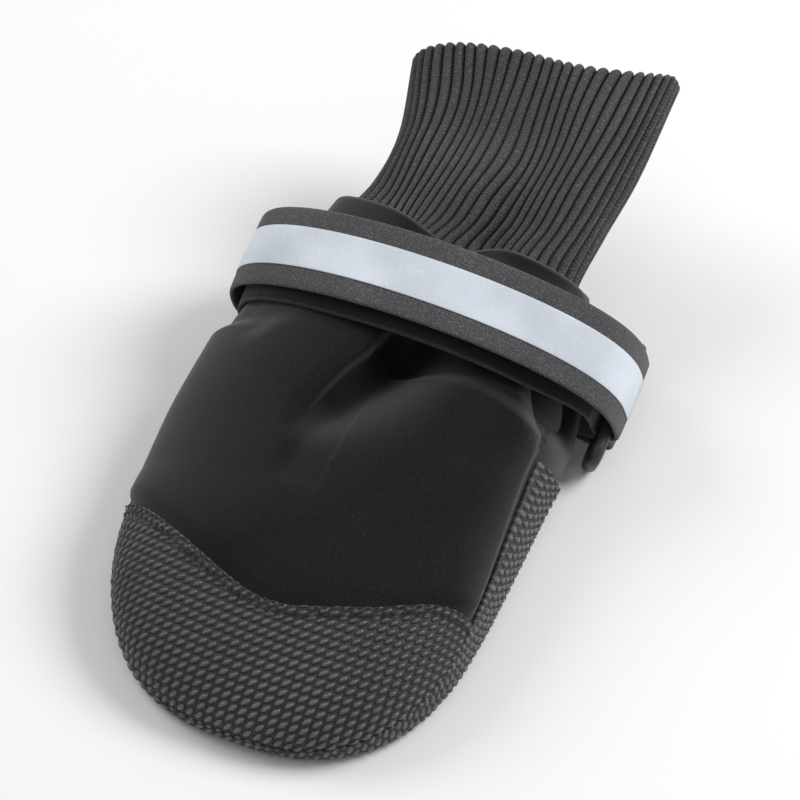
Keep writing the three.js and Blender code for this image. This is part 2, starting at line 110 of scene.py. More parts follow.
class BootSizes(bpy.types.PropertyGroup):
    """Sizes of the boot that a user would change."""

    foot_length: length("Foot length", "Last from the toe tip to the rear end of the sole", 88.5)
    toe_overhang: length("Toe overhang", "Toe tip of the last in front of the origin", 71.0)
    ball_width: length("Ball width", "Widest part of the last", 83.0)
    instep_height: length("Instep height", "Height of the last at the ankle", 40.5)
    toe_box_length: length("Toe box length", "From the toe tip to the widest section", 50.0)
    toe_swing: length("Toe swing", "Lean of the toe to one side", 2.4)
    shaft_length: length("Shaft length", "Ankle section to the top of the cuff", 70.0)
    ankle_width: length("Ankle width", "Width of the leg at the ankle", 77.0)
    fold_depth: length("Fold depth", "Soft fold down the middle of the instep", 8.0)
    fold_half_width: length("Fold half width", "Half width of the instep fold", 8.5)
    upper_wall: length("Neoprene wall", "Thickness of the neoprene", 2.8)
    cap_wall: length("Cap wall", "Thickness of the toe cap", 1.1)
    sole_wall: length("Sole edge wall", "Thickness of the sole's turned up edge", 1.2)
    sole_floor: length("Sole floor", "Thickness of the sole underfoot", 2.2)
    insole_thickness: length("Insole thickness", "Thickness of the foam insole", 2.0)
    cuff_wall: length("Cuff wall", "Thickness of the rib knit", 2.4)
    clearance: length("Clearance", "Gap between layers", 0.3)
    sole_rim_toe: length("Sole edge at the toe", "Height of the sole's edge at the toe", 5.0)
    sole_rim_heel: length("Sole edge at the rear", "Height of the sole's edge at its rear end", 23.5)
    sole_end_low: length("Sole end on the floor", "Sole's end behind the last's rear end", 3.2)
    sole_end_high: length("Sole edge's end", "End of the sole's edge before the last's rear end", 5.4)
    cap_length: length("Cap length", "Toe tip to the cap's edge on the centre line", 23.0)
    cap_edge_round: length("Cap edge rounding", "Rounding of the cap edge's V", 10.0)
    edge_dip: length("Collar dip", "Dip of the neoprene's top edge in the middle", 2.5)
    rib_depth: length("Rib depth", "Depth of the grooves between the ribs", 1.6)
    dot_pitch: length("Dot pitch", "Distance of the raised dots along a row", 3.4)
    dot_height: length("Dot height", "Height of the raised dots", 0.6)
    strap_width: length("Strap width", "Width of the elastic webbing", 20.0)
    strap_thickness: length("Strap thickness", "Thickness of the elastic webbing", 1.4)
    strap_half_span: length("Strap half span", "Half width of the strap's outer layer", 47.6)
    strap_rise: length("Strap rise", "Height of the strap over its middle", 31.9)
    reflective_width: length("Stripe width", "Width of the reflective tape", 10.0)
    ring_bar: length("Ring bar", "Width of the ring's bar", 4.0)
    ring_slot: length("Ring slot", "Clear gap of the ring", 4.2)
    ring_length: length("Ring length", "Length of the ring along its bars", 32.0)
    strap_tilt: bpy.props.FloatProperty(
        name="Strap tilt", description="Lean of the strap's plane to the rear",
        default=math.radians(20.5), subtype="ANGLE")
    rib_count: bpy.props.IntProperty(
        name="Ribs", description="Number of ribs round the cuff", default=56, min=8)


class BootColours(bpy.types.PropertyGroup):
    """Colours of the boot."""

    neoprene: colour("Neoprene", "Jersey face of the neoprene", (0.0080, 0.0079, 0.0080))
    neoprene_fleck: colour("Neoprene fleck", "Lighter fibres of the jersey face", (0.024, 0.0235, 0.0235))
    dots: colour("Dots", "Raised dots of the sole fabric", (0.090, 0.0915, 0.095))
    # painted shade between the raised dots
    dot_gap_shade: colour("Dot ground", "Ground between the dots", (0.026, 0.0265, 0.0275))
    knit: colour("Knit", "Rib knit yarn", (0.066, 0.067, 0.069))
    # painted shade: near black colour deep between the ribs
    knit_groove_shade: colour("Knit groove", "Yarn deep between the ribs", (0.004, 0.004, 0.0045))
    webbing: colour("Webbing", "Elastic webbing", (0.120, 0.120, 0.126))
    webbing_dark: colour("Webbing shade", "Darker threads of the webbing", (0.024, 0.024, 0.026))
    # dark hook and loop face of the strap's inner layer together with painted shade on it
    pile_and_shade: colour("Pile", "Hook and loop pile of the strap's inner layer", (0.006, 0.006, 0.0065))
    reflective: colour("Stripe", "Reflective tape", (0.64, 0.69, 0.76))
    ring: colour("Ring", "Plastic ring", (0.024, 0.024, 0.025))
    thread: colour("Thread", "Sewing thread", (0.010, 0.010, 0.011))
    foam: colour("Foam", "Insole foam", (0.022, 0.022, 0.023))
    floor: colour("Floor", "Studio floor", (0.92, 0.92, 0.92))


def sizes():
    """The size properties in millimetres, angles and counts as they are, with the values that follow."""
    group = bpy.context.scene.boot_sizes
    kept = ("strap_tilt", "rib_count")
    names = BootSizes.__annotations__
    s = SimpleNamespace(**{n: getattr(group, n) / (1 if n in kept else MM) for n in names})
    s.rib_count = group.rib_count
    s.half_ball = s.ball_width / 2
    s.half_ankle = s.ankle_width / 2
    s.seat_height = s.sole_floor + s.clearance
    s.heel_end = s.foot_length - s.toe_overhang
    return s


def smooth(x):
    """Three x squared minus two x cubed, held between 0 and 1."""
    k = np.clip(x, 0, 1)
    return k * k * (3 - 2 * k)


def mix(a, b, share):
    return a + (b - a) * share


def unit(v):
    """Vectors brought to length 1."""
    return v / np.maximum(np.linalg.norm(v, axis=-1, keepdims=True), 1e-12)


def halve(low, high, past, steps):
    """Place between low and high at which past() turns true, found by halving."""
    for _ in range(steps):
        mid = (low + high) / 2
        far = past(mid)
        low, high = np.where(far, low, mid), np.where(far, mid, high)
    return (low + high) / 2


def rounded_square(angle, roundness):
    """Point at an angle from the top on the curve |up| to the n plus |out| to the n equals 1."""
    c, s = np.cos(angle), np.sin(angle)
    r = (np.abs(c) ** roundness + np.abs(s) ** roundness) ** (-1 / roundness)
    return r * c, r * s


class Last:
    """The form of the boot: cross sections from the toe tip to the top of the cuff."""

    toe_roundness = 2.4
    toe_tip_share = 0.84
    toe_top_slope = 0.15
    toe_top_curve = 1.25
    toe_under_curve = 0.9

    def __init__(self, s, sharp=0.0):
        self.s = s
        self.sharp = sharp
        foot = np.array([s.foot_length, s.instep_height, s.foot_length, s.instep_height, s.half_ball,
                         s.foot_length, s.instep_height, 1, 1, s.half_ball, s.fold_depth, s.half_ball,
                         s.foot_length, s.instep_height])
        leg = np.array([s.shaft_length, s.instep_height, s.shaft_length, s.instep_height, s.half_ankle,
                        s.shaft_length, s.instep_height, 1, 1, s.half_ankle, s.fold_depth, s.half_ankle,
                        s.shaft_length, s.instep_height])
        rows = np.vstack([FOOT_ROWS * foot, LEG_ROWS * leg])
        rows[len(FOOT_ROWS):, [0, 2, 5]] += ANKLE_ALONG * s.foot_length
        self.rows = np.vstack([2 * rows[0] - rows[1], rows, 2 * rows[-1] - rows[-2]])
        self.last = len(rows) - 1

    def section(self, t):
        """Columns of the section at t, by a Catmull-Rom curve through each column."""
        k = np.clip(np.floor(t).astype(int), 0, self.last - 1)
        s = (t - k)[..., None]
        a, b, c, d = (self.rows[k + i] for i in range(4))
        return np.moveaxis(b + 0.5 * s * (c - a + s * (2 * a - 5 * b + 4 * c - d + s * (3 * (b - c) + d - a))), -1, 0)

    def surface(self, t, psi):
        """A rounded square through top, side and underside of the section at t; ahead of the ball the
        section shrinks to the toe tip along a rounded quarter; a bell shaped fold is pressed in."""
        t, psi = np.broadcast_arrays(np.asarray(t, float), np.asarray(psi, float))
        s = self.s
        (top_y, top_z, side_y, side_z, half, under_y, under_z,
         top_round, under_round, shift, fold, fold_at, reach, rise) = self.section(np.maximum(t, 0))
        up, out = rounded_square(psi, mix(top_round, under_round, (1 - np.cos(psi)) / 2))
        y = side_y + up * (top_y - under_y) / 2 + up * up * ((top_y + under_y) / 2 - side_y)
        z = side_z + np.where(up > 0, up * (top_z - side_z), up * (side_z - under_z))
        x = half * out
        ahead, tall = rounded_square((np.clip(t, -1, 0) + 1) * math.pi / 2, self.toe_roundness)
        tall = np.maximum(tall, 0)
        depth = s.toe_box_length * ahead
        over = (top_z - side_z - self.toe_top_slope * depth) * tall ** self.toe_top_curve
        below = (side_z - under_z) * tall ** self.toe_under_curve
        toe_z = side_z * mix(1, self.toe_tip_share, ahead * ahead) + up * np.where(up > 0, over, below)
        toe = t < 0
        y = np.where(toe, side_y - depth, y)
        x = np.where(toe, x * tall, x)
        z = np.where(toe, toe_z, z)
        lean = out * np.abs(out)
        x = x + shift
        y = y + reach * lean
        z = z + rise * lean
        start = -s.toe_overhang / 3
        swing = s.toe_swing * smooth((start - y) / (s.toe_overhang + start))
        side = x - fold_at
        sharp = self.sharp * (1 - smooth((t - 4.0) / 0.9))
        width = s.fold_half_width * np.where(side < 0, mix(1, 0.36, sharp), mix(1, 1.4, sharp))
        deep = fold * mix(1, 1.8, sharp)
        hollow = np.where(toe, 0, deep * np.exp(-((side / width) ** 2)) * np.maximum(0, up))
        inward = unit(np.stack([top_y - side_y, top_z - side_z], -1))
        return np.stack([x + swing, y - hollow * inward[..., 0], z - hollow * inward[..., 1]], -1)

    def normal(self, t, psi):
        """Outward normal, from the difference of close points round and along the last."""
        e = 1e-3
        along = self.surface(t + e, psi) - self.surface(np.maximum(-1, t - e), psi)
        around = self.surface(t, psi + e) - self.surface(t, psi - e)
        n = unit(np.cross(around, along))
        tip = np.broadcast_to(np.asarray(t)[..., None] if np.ndim(t) else t, n.shape) <= -1 + 1e-6
        return np.where(tip, np.array([0.0, -1.0, 0.0]), n)

    def grown(self, t, psi, d):
        """The surface moved by d along its outward normal."""
        t, psi = np.broadcast_arrays(np.asarray(t, float), np.asarray(psi, float))
        return self.surface(t, psi) + np.asarray(d)[..., None] * self.normal(t, psi)

    def collar(self, psi):
        """Row where the neoprene ends: one line round the leg with a dip in the middle."""
        s = self.s
        dip = s.edge_dip / ((LEG_ROWS[2][2] - LEG_ROWS[1][2]) * s.shaft_length)
        turn = (psi + math.pi) % TAU - math.pi
        return EDGE_ROW - dip * np.exp(-((turn / 0.3) ** 2))

    def rim(self, y, side=1):
        """Height of the sole's edge: a straight rise from the toe to the rear end, held lower at the
        left, where the neoprene bulges over it."""
        share = np.maximum(0, (y + self.s.toe_overhang) / self.s.foot_length)
        lower = np.where(np.asarray(side) < 0, 5.0 * smooth((share - 0.35) / 0.4), 0.0)
        return mix(self.s.sole_rim_toe, self.s.sole_rim_heel, share) - lower

    def cap_edge(self, x):
        """Place along the foot of the cap's rear edge: a hyperbola, so a rounded V in plan."""
        s = self.s
        rise = np.hypot(x - s.toe_swing / 2, s.cap_edge_round) - s.cap_edge_round
        return s.cap_length - s.toe_overhang + 0.49 * rise + 2.6 * smooth((x - 22) / 16)

    def rim_angle(self, t, d, lift=0.0, side=1):
        """Angle at which the form grown by d meets the sole's rim at t, found by halving."""

        def below(angle):
            p = self.grown(t, side * angle, d)
            return p[..., 2] <= self.rim(p[..., 1], side) + lift

        return halve(np.full_like(t, 0.15), np.full_like(t, math.pi - 0.3), below, 26)


CAP_TURN, SOLE_TURN, CAP_BEND, SOLE_BEND, BEND_AT = math.radians(44), math.radians(134), 0.006, 0.0002, -56.0


def fabric_map(points, height, tall, centre_y, row_turn, bend):
    """Flat coordinates of the dotted fabric: the plan, spread outwards from the foot's middle line by
    what a quarter round of the given tallness is longer than its plan, and bent so that its rows turn
    slowly across the foot, by the complex exponential of the plan, which keeps angles. u runs along
    the rows of dots."""
    from_line = np.stack([points[..., 0], np.minimum(0, points[..., 1] - centre_y)], -1)
    round_angle = np.arccos(1 - np.clip(height / tall, 0, 1))
    longer = tall * (round_angle - np.sin(round_angle)) + np.maximum(0, height - tall)
    plan = points[..., :2] + unit(from_line) * longer[..., None]
    swell = np.exp(bend * (plan[..., 1] - BEND_AT)) / bend
    turn = row_turn + bend * plan[..., 0]
    return np.stack([swell * np.sin(turn), swell * np.cos(turn)], -1)


def domes(flat, s):
    """Height of the raised dots: oblong domes on a staggered lattice, twice as long along a row as
    across it, each the upper part of an ellipsoid with steep sides."""
    u, v = flat[..., 0] / s.dot_pitch, flat[..., 1] / s.dot_pitch
    best = None
    for shift in (0.0, 0.5):
        du = (u + shift) - np.round(u + shift)
        dv = (v + shift) - np.round(v + shift)
        far = (du / 0.42) ** 2 + (dv / 0.22) ** 2
        best = far if best is None else np.minimum(best, far)
    return s.dot_height * np.sqrt(np.maximum(0, 1 - best))


def curve_points(points, count=40):
    """Points along a smooth curve through a few given ones, by a Catmull-Rom curve."""
    p = np.asarray(points, float)
    p = np.vstack([2 * p[0] - p[1], p, 2 * p[-1] - p[-2]])
    t = np.linspace(0, len(p) - 3 - 1e-9, count)
    k = t.astype(int)
    s = (t - k)[:, None]
    a, b, c, d = (p[k + i] for i in range(4))
    return b + 0.5 * s * (c - a + s * (2 * a - 5 * b + 4 * c - d + s * (3 * (b - c) + d - a)))


def relief(last, points, normals, s):
    """Creases and swells of the neoprene: for each crease a bell across its line, narrower on one side
    and fading at both ends, and for each swell a bell round its middle."""
    out = np.zeros(points.shape[:-1])
    for line, depth, left, right in CREASES:
        rows_angles = curve_points(line)
        way = last.surface(rows_angles[:, 0], rows_angles[:, 1])
        run = unit(np.gradient(way, axis=0))
        far = np.linalg.norm(points[..., None, :] - way, axis=-1)
        near = np.argmin(far, -1)
        gone = np.take_along_axis(far, near[..., None], -1)[..., 0]
        step = points - way[near]
        slip = (step * run[near]).sum(-1)
        gone = np.sqrt(np.maximum(0, gone ** 2 - slip ** 2))
        at = near + slip / np.linalg.norm(np.gradient(way, axis=0), axis=-1)[near]
        side = (np.cross(run[near], step) * normals).sum(-1)
        width = s.fold_half_width * mix(right, left, smooth(0.5 + side / 2))
        fade = smooth(np.minimum(at, len(way) - 1 - at) / (0.35 * len(way)))
        out -= depth * s.fold_depth * np.exp(-((gone / width) ** 2)) * fade
    for row, angle, radius, height in SWELLS:
        gone = np.linalg.norm(points - last.surface(row, angle), axis=-1)
        out += height * s.fold_depth * np.exp(-((gone / (radius * s.half_ball)) ** 2))
    return out


def grid_faces(rows, columns, around=False, ring=False):
    """Quads of a grid of rows and columns, closed across the columns if around is set, and from the
    last row to the first if ring is set."""
    i = np.arange(rows if ring else rows - 1)[:, None]
    j = np.arange(columns if around else columns - 1)[None, :]
    k, n = (j + 1) % columns, (i + 1) % rows
    return np.stack([i * columns + j, i * columns + k, n * columns + k, n * columns + j], -1).reshape(-1, 4)


def end_fans(rows, columns):
    """Triangles that close the first and the last row of a grid to two points added after it."""
    j = np.arange(columns)
    k = (j + 1) % columns
    final = (rows - 1) * columns
    return np.concatenate([np.stack([np.full(columns, rows * columns), k, j], -1),
                           np.stack([np.full(columns, rows * columns + 1), final + j, final + k], -1)])


def grid_border(rows, columns):
    """Points of a grid's border up its first column, along its last row and down its last column."""
    return np.concatenate([
        np.arange(rows) * columns,
        (rows - 1) * columns + np.arange(1, columns),
        np.arange(rows - 2, -1, -1) * columns + columns - 1])


def rounded_lip(outer, inner, stretch=1.0):
    """Rows of a half round from the last row of an outer face to the first row of an inner one."""
    middle, half = (outer[-1] + inner[0]) / 2, (outer[-1] - inner[0]) / 2
    forward = unit(outer[-1] - outer[-3])
    turn = np.linspace(0, math.pi, 9)[1:-1, None, None]
    return middle + np.cos(turn) * half + (
        np.sin(turn) * forward * np.linalg.norm(half, axis=-1, keepdims=True) * stretch)


def make_mesh(name, points, faces, uv=None, material=None, masks=None, flip=False, tris=None):
    """Mesh object from points in millimetres and quads, with a UV of each point and point masks."""
    points = np.asarray(points, float).reshape(-1, 3) * MM
    faces = np.asarray(faces)
    if flip:
        faces = faces[:, ::-1]
    loops = faces.reshape(-1)
    sides = np.full(len(faces), faces.shape[1])
    if tris is not None and len(tris):
        tris = np.asarray(tris)
        tris = tris[:, ::-1] if flip else tris
        loops = np.concatenate([loops, tris.reshape(-1)])
        sides = np.concatenate([sides, np.full(len(tris), 3)])
    mesh = bpy.data.meshes.new(name)
    mesh.vertices.add(len(points))
    mesh.vertices.foreach_set("co", points.astype(np.float32).reshape(-1))
    mesh.loops.add(len(loops))
    mesh.loops.foreach_set("vertex_index", loops.astype(np.int32))
    mesh.polygons.add(len(sides))
    mesh.polygons.foreach_set("loop_start", (np.cumsum(sides) - sides).astype(np.int32))
    mesh.polygons.foreach_set("loop_total", sides.astype(np.int32))
    mesh.update(calc_edges=True)
    if uv is not None:
        layer = mesh.uv_layers.new(name="UVMap")
        flat = np.asarray(uv, float).reshape(-1, 2) * MM
        layer.data.foreach_set("uv", flat[loops].astype(np.float32).reshape(-1))
    for key, values in (masks or {}).items():
        layer = mesh.attributes.new(key, "FLOAT", "POINT")
        layer.data.foreach_set("value", np.asarray(values, np.float32).reshape(-1))
    mesh.polygons.foreach_set("use_smooth", np.ones(len(sides), bool))
    mesh.validate()
    obj = bpy.data.objects.new(name, mesh)
    bpy.context.scene.collection.objects.link(obj)
    if material is not None:
        mesh.materials.append(material)
    return obj


def place(obj, *nodes, slot):
    """Ties a piece to the boot's body, to the nodes it stands for and to its material slot."""
    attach(obj, "root")
    if nodes:
        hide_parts(*nodes)
    return obj


# ---- Materials -------------------------------------------------------------------------------


def new_group(name, inputs, outputs):
    """Empty shader group with named inputs and outputs, and its input and output nodes."""
    group = bpy.data.node_groups.new(name, "ShaderNodeTree")
    for label, kind, value in inputs:
        socket = group.interface.new_socket(label, in_out="INPUT", socket_type=kind)
        if value is not None:
            socket.default_value = value
    for label, kind in outputs:
        group.interface.new_socket(label, in_out="OUTPUT", socket_type=kind)
    return group, group.nodes.new("NodeGroupInput"), group.nodes.new("NodeGroupOutput")


def add_node(tree, kind, inputs=None, **settings):
    """Node with its settings; inputs maps a socket's name or number to a value or an output."""
    node = tree.nodes.new(kind)
    for key, value in settings.items():
        setattr(node, key, value)
    for key, value in (inputs or {}).items():
        socket = node.inputs[key]
        if isinstance(value, bpy.types.NodeSocket):
            tree.links.new(value, socket)
        else:
            socket.default_value = value
    return node


def sum_up(tree, operation, a, b, c=None):
    """Output of a Math node."""
    inputs = {0: a, 1: b}
    if c is not None:
        inputs[2] = c
    return add_node(tree, "ShaderNodeMath", inputs, operation=operation).outputs[0]


def blend_colours(tree, share, a, b):
    """Output of a colour Mix node."""
    node = add_node(tree, "ShaderNodeMix", {"Factor": share}, data_type="RGBA")
    for socket, value in ((node.inputs[6], a), (node.inputs[7], b)):
        if isinstance(value, bpy.types.NodeSocket):
            tree.links.new(value, socket)
        else:
            socket.default_value = (*value, 1)
    return node.outputs[2]


def fleck_group():
    """Two colours of fibre mixed by fine noise, a slow drift of tone, and the noise as a height."""
    group, given, result = new_group("fibre_fleck", [
        ("Base", "NodeSocketColor", (0.02, 0.02, 0.02, 1)),
        ("Fleck", "NodeSocketColor", (0.05, 0.05, 0.05, 1)),
        ("Scale", "NodeSocketFloat", 2200.0),
        ("Amount", "NodeSocketFloat", 0.5),
    ], [("Color", "NodeSocketColor"), ("Height", "NodeSocketFloat")])
    place_at = add_node(group, "ShaderNodeTexCoord").outputs["Object"]
    fine = add_node(group, "ShaderNodeTexNoise", {
        "Vector": place_at, "Scale": given.outputs["Scale"], "Detail": 2.0, "Roughness": 0.7}).outputs[0]
    slow = add_node(group, "ShaderNodeTexNoise", {"Vector": place_at, "Scale": 45.0, "Detail": 2.0}).outputs[0]
    sharp = add_node(group, "ShaderNodeMapRange", {0: fine, 1: 0.5, 2: 0.75}).outputs[0]
    share = sum_up(group, "MULTIPLY", sharp, given.outputs["Amount"])
    tone = blend_colours(group, share, given.outputs["Base"], given.outputs["Fleck"])
    drift = add_node(group, "ShaderNodeMapRange", {0: slow, 1: 0.3, 2: 0.7, 3: 0.82, 4: 1.14}).outputs[0]
    hue = add_node(group, "ShaderNodeHueSaturation", {"Value": drift, "Color": tone}).outputs[0]
    group.links.new(hue, result.inputs["Color"])
    group.links.new(fine, result.inputs["Height"])
    return group


def dots_group():
    """The oblong domes of the dotted fabric on the piece's own UV, as domes() makes them: height of the
    dome and a mask of its top."""
    group, given, result = new_group("raised_dots", [
        ("Pitch", "NodeSocketFloat", 0.0039),
    ], [("Height", "NodeSocketFloat"), ("Top", "NodeSocketFloat")])
    flat = add_node(group, "ShaderNodeUVMap", uv_map="UVMap").outputs[0]
    cell = add_node(group, "ShaderNodeCombineXYZ", {
        0: given.outputs["Pitch"], 1: given.outputs["Pitch"], 2: 1.0}).outputs[0]
    shares = add_node(group, "ShaderNodeVectorMath", {0: flat, 1: cell}, operation="DIVIDE").outputs[0]
    distances = []
    for shift in (0.5, 0.0):
        at = shares
        for operation, value in (("ADD", (shift, shift, 0)), ("FRACTION", None), ("SUBTRACT", (0.5, 0.5, 0)),
                                 ("MULTIPLY", (1 / 0.42, 1 / 0.22, 0))):
            inputs = {0: at} if value is None else {0: at, 1: value}
            at = add_node(group, "ShaderNodeVectorMath", inputs, operation=operation).outputs[0]
        distances.append(add_node(group, "ShaderNodeVectorMath", {0: at}, operation="LENGTH").outputs["Value"])
    near = sum_up(group, "MINIMUM", *distances)
    left = sum_up(group, "MAXIMUM", sum_up(group, "SUBTRACT", 1.0, sum_up(group, "MULTIPLY", near, near)), 0.0)
    group.links.new(sum_up(group, "SQRT", left, 0.0), result.inputs["Height"])
    top = add_node(group, "ShaderNodeMapRange", {0: near, 1: 1.1, 2: 0.7}).outputs[0]
    group.links.new(top, result.inputs["Top"])
    return group


def weave_group():
    """Fine threads across and along the piece's own UV: height of the weave and a mask of its gaps."""
    group, given, result = new_group("webbing_weave", [
        ("Along", "NodeSocketFloat", 0.0009),
        ("Across", "NodeSocketFloat", 0.0007),
    ], [("Height", "NodeSocketFloat"), ("Gap", "NodeSocketFloat")])
    flat = add_node(group, "ShaderNodeUVMap", uv_map="UVMap").outputs[0]
    parts = add_node(group, "ShaderNodeSeparateXYZ", {0: flat})
    waves = []
    for output, size in ((0, "Along"), (1, "Across")):
        turns = sum_up(group, "DIVIDE", parts.outputs[output], given.outputs[size])
        waves.append(sum_up(group, "MULTIPLY", turns, math.pi))
    checker = sum_up(group, "MULTIPLY", sum_up(group, "SINE", waves[0], 0.0), sum_up(group, "SINE", waves[1], 0.0))
    height = sum_up(group, "ABSOLUTE", checker, 0.0)
    group.links.new(height, result.inputs["Height"])
    gap = add_node(group, "ShaderNodeMapRange", {0: height, 1: 0.35, 2: 0.0}).outputs[0]
    group.links.new(gap, result.inputs["Gap"])
    return group


def shared(name, build):
    """A node group by name, built the first time it is asked for."""
    return bpy.data.node_groups.get(name) or build()


def place_group(tree, name, build, **values):
    """The shared group as a node in a material, with its own values."""
    node = tree.nodes.new("ShaderNodeGroup")
    node.node_tree = shared(name, build)
    for key, value in values.items():
        socket = node.inputs[key]
        if isinstance(value, bpy.types.NodeSocket):
            tree.links.new(value, socket)
        elif socket.type == "RGBA":
            socket.default_value = (*value, 1)
        else:
            socket.default_value = value
    return node


def new_material(name, **constants):
    """Material with a Principled shader whose constants are set on its own sockets."""
    material = bpy.data.materials.new(name)
    material.use_nodes = True
    tree = material.node_tree
    shader = next(n for n in tree.nodes if n.type == "BSDF_PRINCIPLED")
    for key, value in constants.items():
        socket = shader.inputs[key.replace("_", " ")]
        socket.default_value = value
    return material, tree, shader


def bump(tree, shader, height, distance, strength=1.0, before=None):
    """Bump of a height into the shader's normal, over another bump if one is given."""
    inputs = {"Height": height, "Distance": distance, "Strength": strength}
    if before is not None:
        inputs["Normal"] = before
    node = add_node(tree, "ShaderNodeBump", inputs)
    tree.links.new(node.outputs[0], shader.inputs["Normal"])
    return node.outputs[0]


def neoprene_material(c):
    """Matte jersey face: dark fibres with lighter flecks and a fine nap that pales seen at a slant."""
    material, tree, shader = new_material(
        "neoprene_jersey", Roughness=0.92, Sheen_Weight=0.14, Sheen_Roughness=0.35, Specular_IOR_Level=0.2)
    fleck = place_group(tree, "fibre_fleck", fleck_group, Base=c.neoprene, Fleck=c.neoprene_fleck,
                        Scale=2300.0, Amount=0.8)
    # painted sheen: the colour pales towards 4.5 times the fleck colour where the face is seen at a slant
    slant = add_node(tree, "ShaderNodeLayerWeight", {"Blend": 0.5}).outputs["Facing"]
    slant = add_node(tree, "ShaderNodeMapRange", {0: slant, 1: 0.12, 2: 1.0}).outputs[0]
    slant_sheen = blend_colours(tree, slant, fleck.outputs["Color"], tuple(4.5 * v for v in c.neoprene_fleck))
    # painted shade: the colour darkens towards a fifth of the base in the instep fold, the creases and at the ankle
    # behind the front panel
    painted_shade = add_node(tree, "ShaderNodeAttribute", attribute_name="painted_shade").outputs["Fac"]
    deep = blend_colours(tree, sum_up(tree, "MULTIPLY", painted_shade, 0.85), slant_sheen, tuple(0.2 * v for v in c.neoprene))
    tree.links.new(deep, shader.inputs["Base Color"])
    bump(tree, shader, fleck.outputs["Height"], 0.0001, 0.6)
    return material


def dotted_material(c, s):
    """Rubbery dots over a dark ground, the tops a little worn and shinier. One material serves the sole
    and the cap, which are cut from one fabric."""
    found = bpy.data.materials.get("raised_dot_fabric")
    if found:
        return found
    material, tree, shader = new_material("raised_dot_fabric", Specular_IOR_Level=0.5)
    dots = place_group(tree, "raised_dots", dots_group, Pitch=s.dot_pitch * MM)
    fleck = place_group(tree, "fibre_fleck", fleck_group, Base=c.dots,
                        Fleck=tuple(1.4 * v for v in c.dots), Scale=1500.0, Amount=0.5)
    # painted shade: the ground around the domes takes the dark gap colour
    tone = blend_colours(tree, dots.outputs["Top"], tuple(c.dot_gap_shade), fleck.outputs["Color"])
    tree.links.new(tone, shader.inputs["Base Color"])
    rough = add_node(tree, "ShaderNodeMapRange", {0: dots.outputs["Top"], 3: 0.6, 4: 0.30}).outputs[0]
    tree.links.new(rough, shader.inputs["Roughness"])
    first = bump(tree, shader, dots.outputs["Height"], s.dot_height * MM, 0.8)
    bump(tree, shader, fleck.outputs["Height"], 0.00008, 0.5, first)
    return material


def knit_material(c):
    """Heathered yarn: stitches as slanted waves up each rib, dark deep between the ribs."""
    material, tree, shader = new_material(
        "rib_knit_yarn", Roughness=0.95, Sheen_Weight=0.15, Sheen_Roughness=0.5, Specular_IOR_Level=0.2)
    fleck = place_group(tree, "fibre_fleck", fleck_group, Base=c.knit,
                        Fleck=tuple(2.3 * v for v in c.knit), Scale=1700.0, Amount=0.9)
    groove_shade = add_node(tree, "ShaderNodeAttribute", attribute_name="groove_shade").outputs["Fac"]
    flat = add_node(tree, "ShaderNodeUVMap", uv_map="UVMap").outputs[0]
    parts = add_node(tree, "ShaderNodeSeparateXYZ", {0: flat})
    # u runs over each rib in thousandths, v is the length along the cuff
    rib = sum_up(tree, "PINGPONG", sum_up(tree, "MULTIPLY", parts.outputs[0], 1000.0), 0.25)
    up = sum_up(tree, "ADD", sum_up(tree, "DIVIDE", parts.outputs[1], 0.0008), fleck.outputs["Height"])
    slanted = sum_up(tree, "ADD", up, sum_up(tree, "MULTIPLY", rib, 2.6))
    stitch = sum_up(tree, "ABSOLUTE", sum_up(tree, "SINE", sum_up(tree, "MULTIPLY", slanted, math.pi), 0.0), 0.0)
    loops = add_node(tree, "ShaderNodeMapRange", {0: stitch, 1: 0.0, 2: 0.7, 3: 0.72, 4: 1.05}).outputs[0]
    tone = add_node(tree, "ShaderNodeHueSaturation", {"Value": loops, "Color": fleck.outputs["Color"]}).outputs[0]
    # painted shade: the yarn colour blends to the near black shade colour between the ribs
    deep = blend_colours(tree, groove_shade, tone, tuple(c.knit_groove_shade))
    tree.links.new(deep, shader.inputs["Base Color"])
    first = bump(tree, shader, stitch, 0.00014, 0.5)
    bump(tree, shader, fleck.outputs["Height"], 0.0004, 0.9, first)
    return material


def webbing_material(c):
    """Elastic webbing: fine rows of thread with dark gaps, and the darker pile of the inner layer."""
    found = bpy.data.materials.get("elastic_webbing")
    if found:
        return found
    material, tree, shader = new_material(
        "elastic_webbing", Roughness=0.85, Sheen_Weight=0.1, Sheen_Roughness=0.5, Specular_IOR_Level=0.25)
    weave = place_group(tree, "webbing_weave", weave_group, Along=0.00062, Across=0.00048)
    fleck = place_group(tree, "fibre_fleck", fleck_group, Base=tuple(0.6 * v for v in c.webbing),
                        Fleck=tuple(1.7 * v for v in c.webbing), Scale=2300.0, Amount=1.0)
    gaps = sum_up(tree, "MULTIPLY", weave.outputs["Gap"], 0.45)
    tone = blend_colours(tree, gaps, fleck.outputs["Color"], tuple(c.webbing_dark))
    # inner layer darkened: its dark hook and loop face and painted shade
    pile_and_shade = add_node(tree, "ShaderNodeAttribute", attribute_name="pile_and_shade").outputs["Fac"]
    tree.links.new(blend_colours(tree, pile_and_shade, tone, tuple(c.pile_and_shade)), shader.inputs["Base Color"])
    first = bump(tree, shader, weave.outputs["Height"], 0.00012, 0.6)
    bump(tree, shader, fleck.outputs["Height"], 0.0002, 0.8, first)
    return material


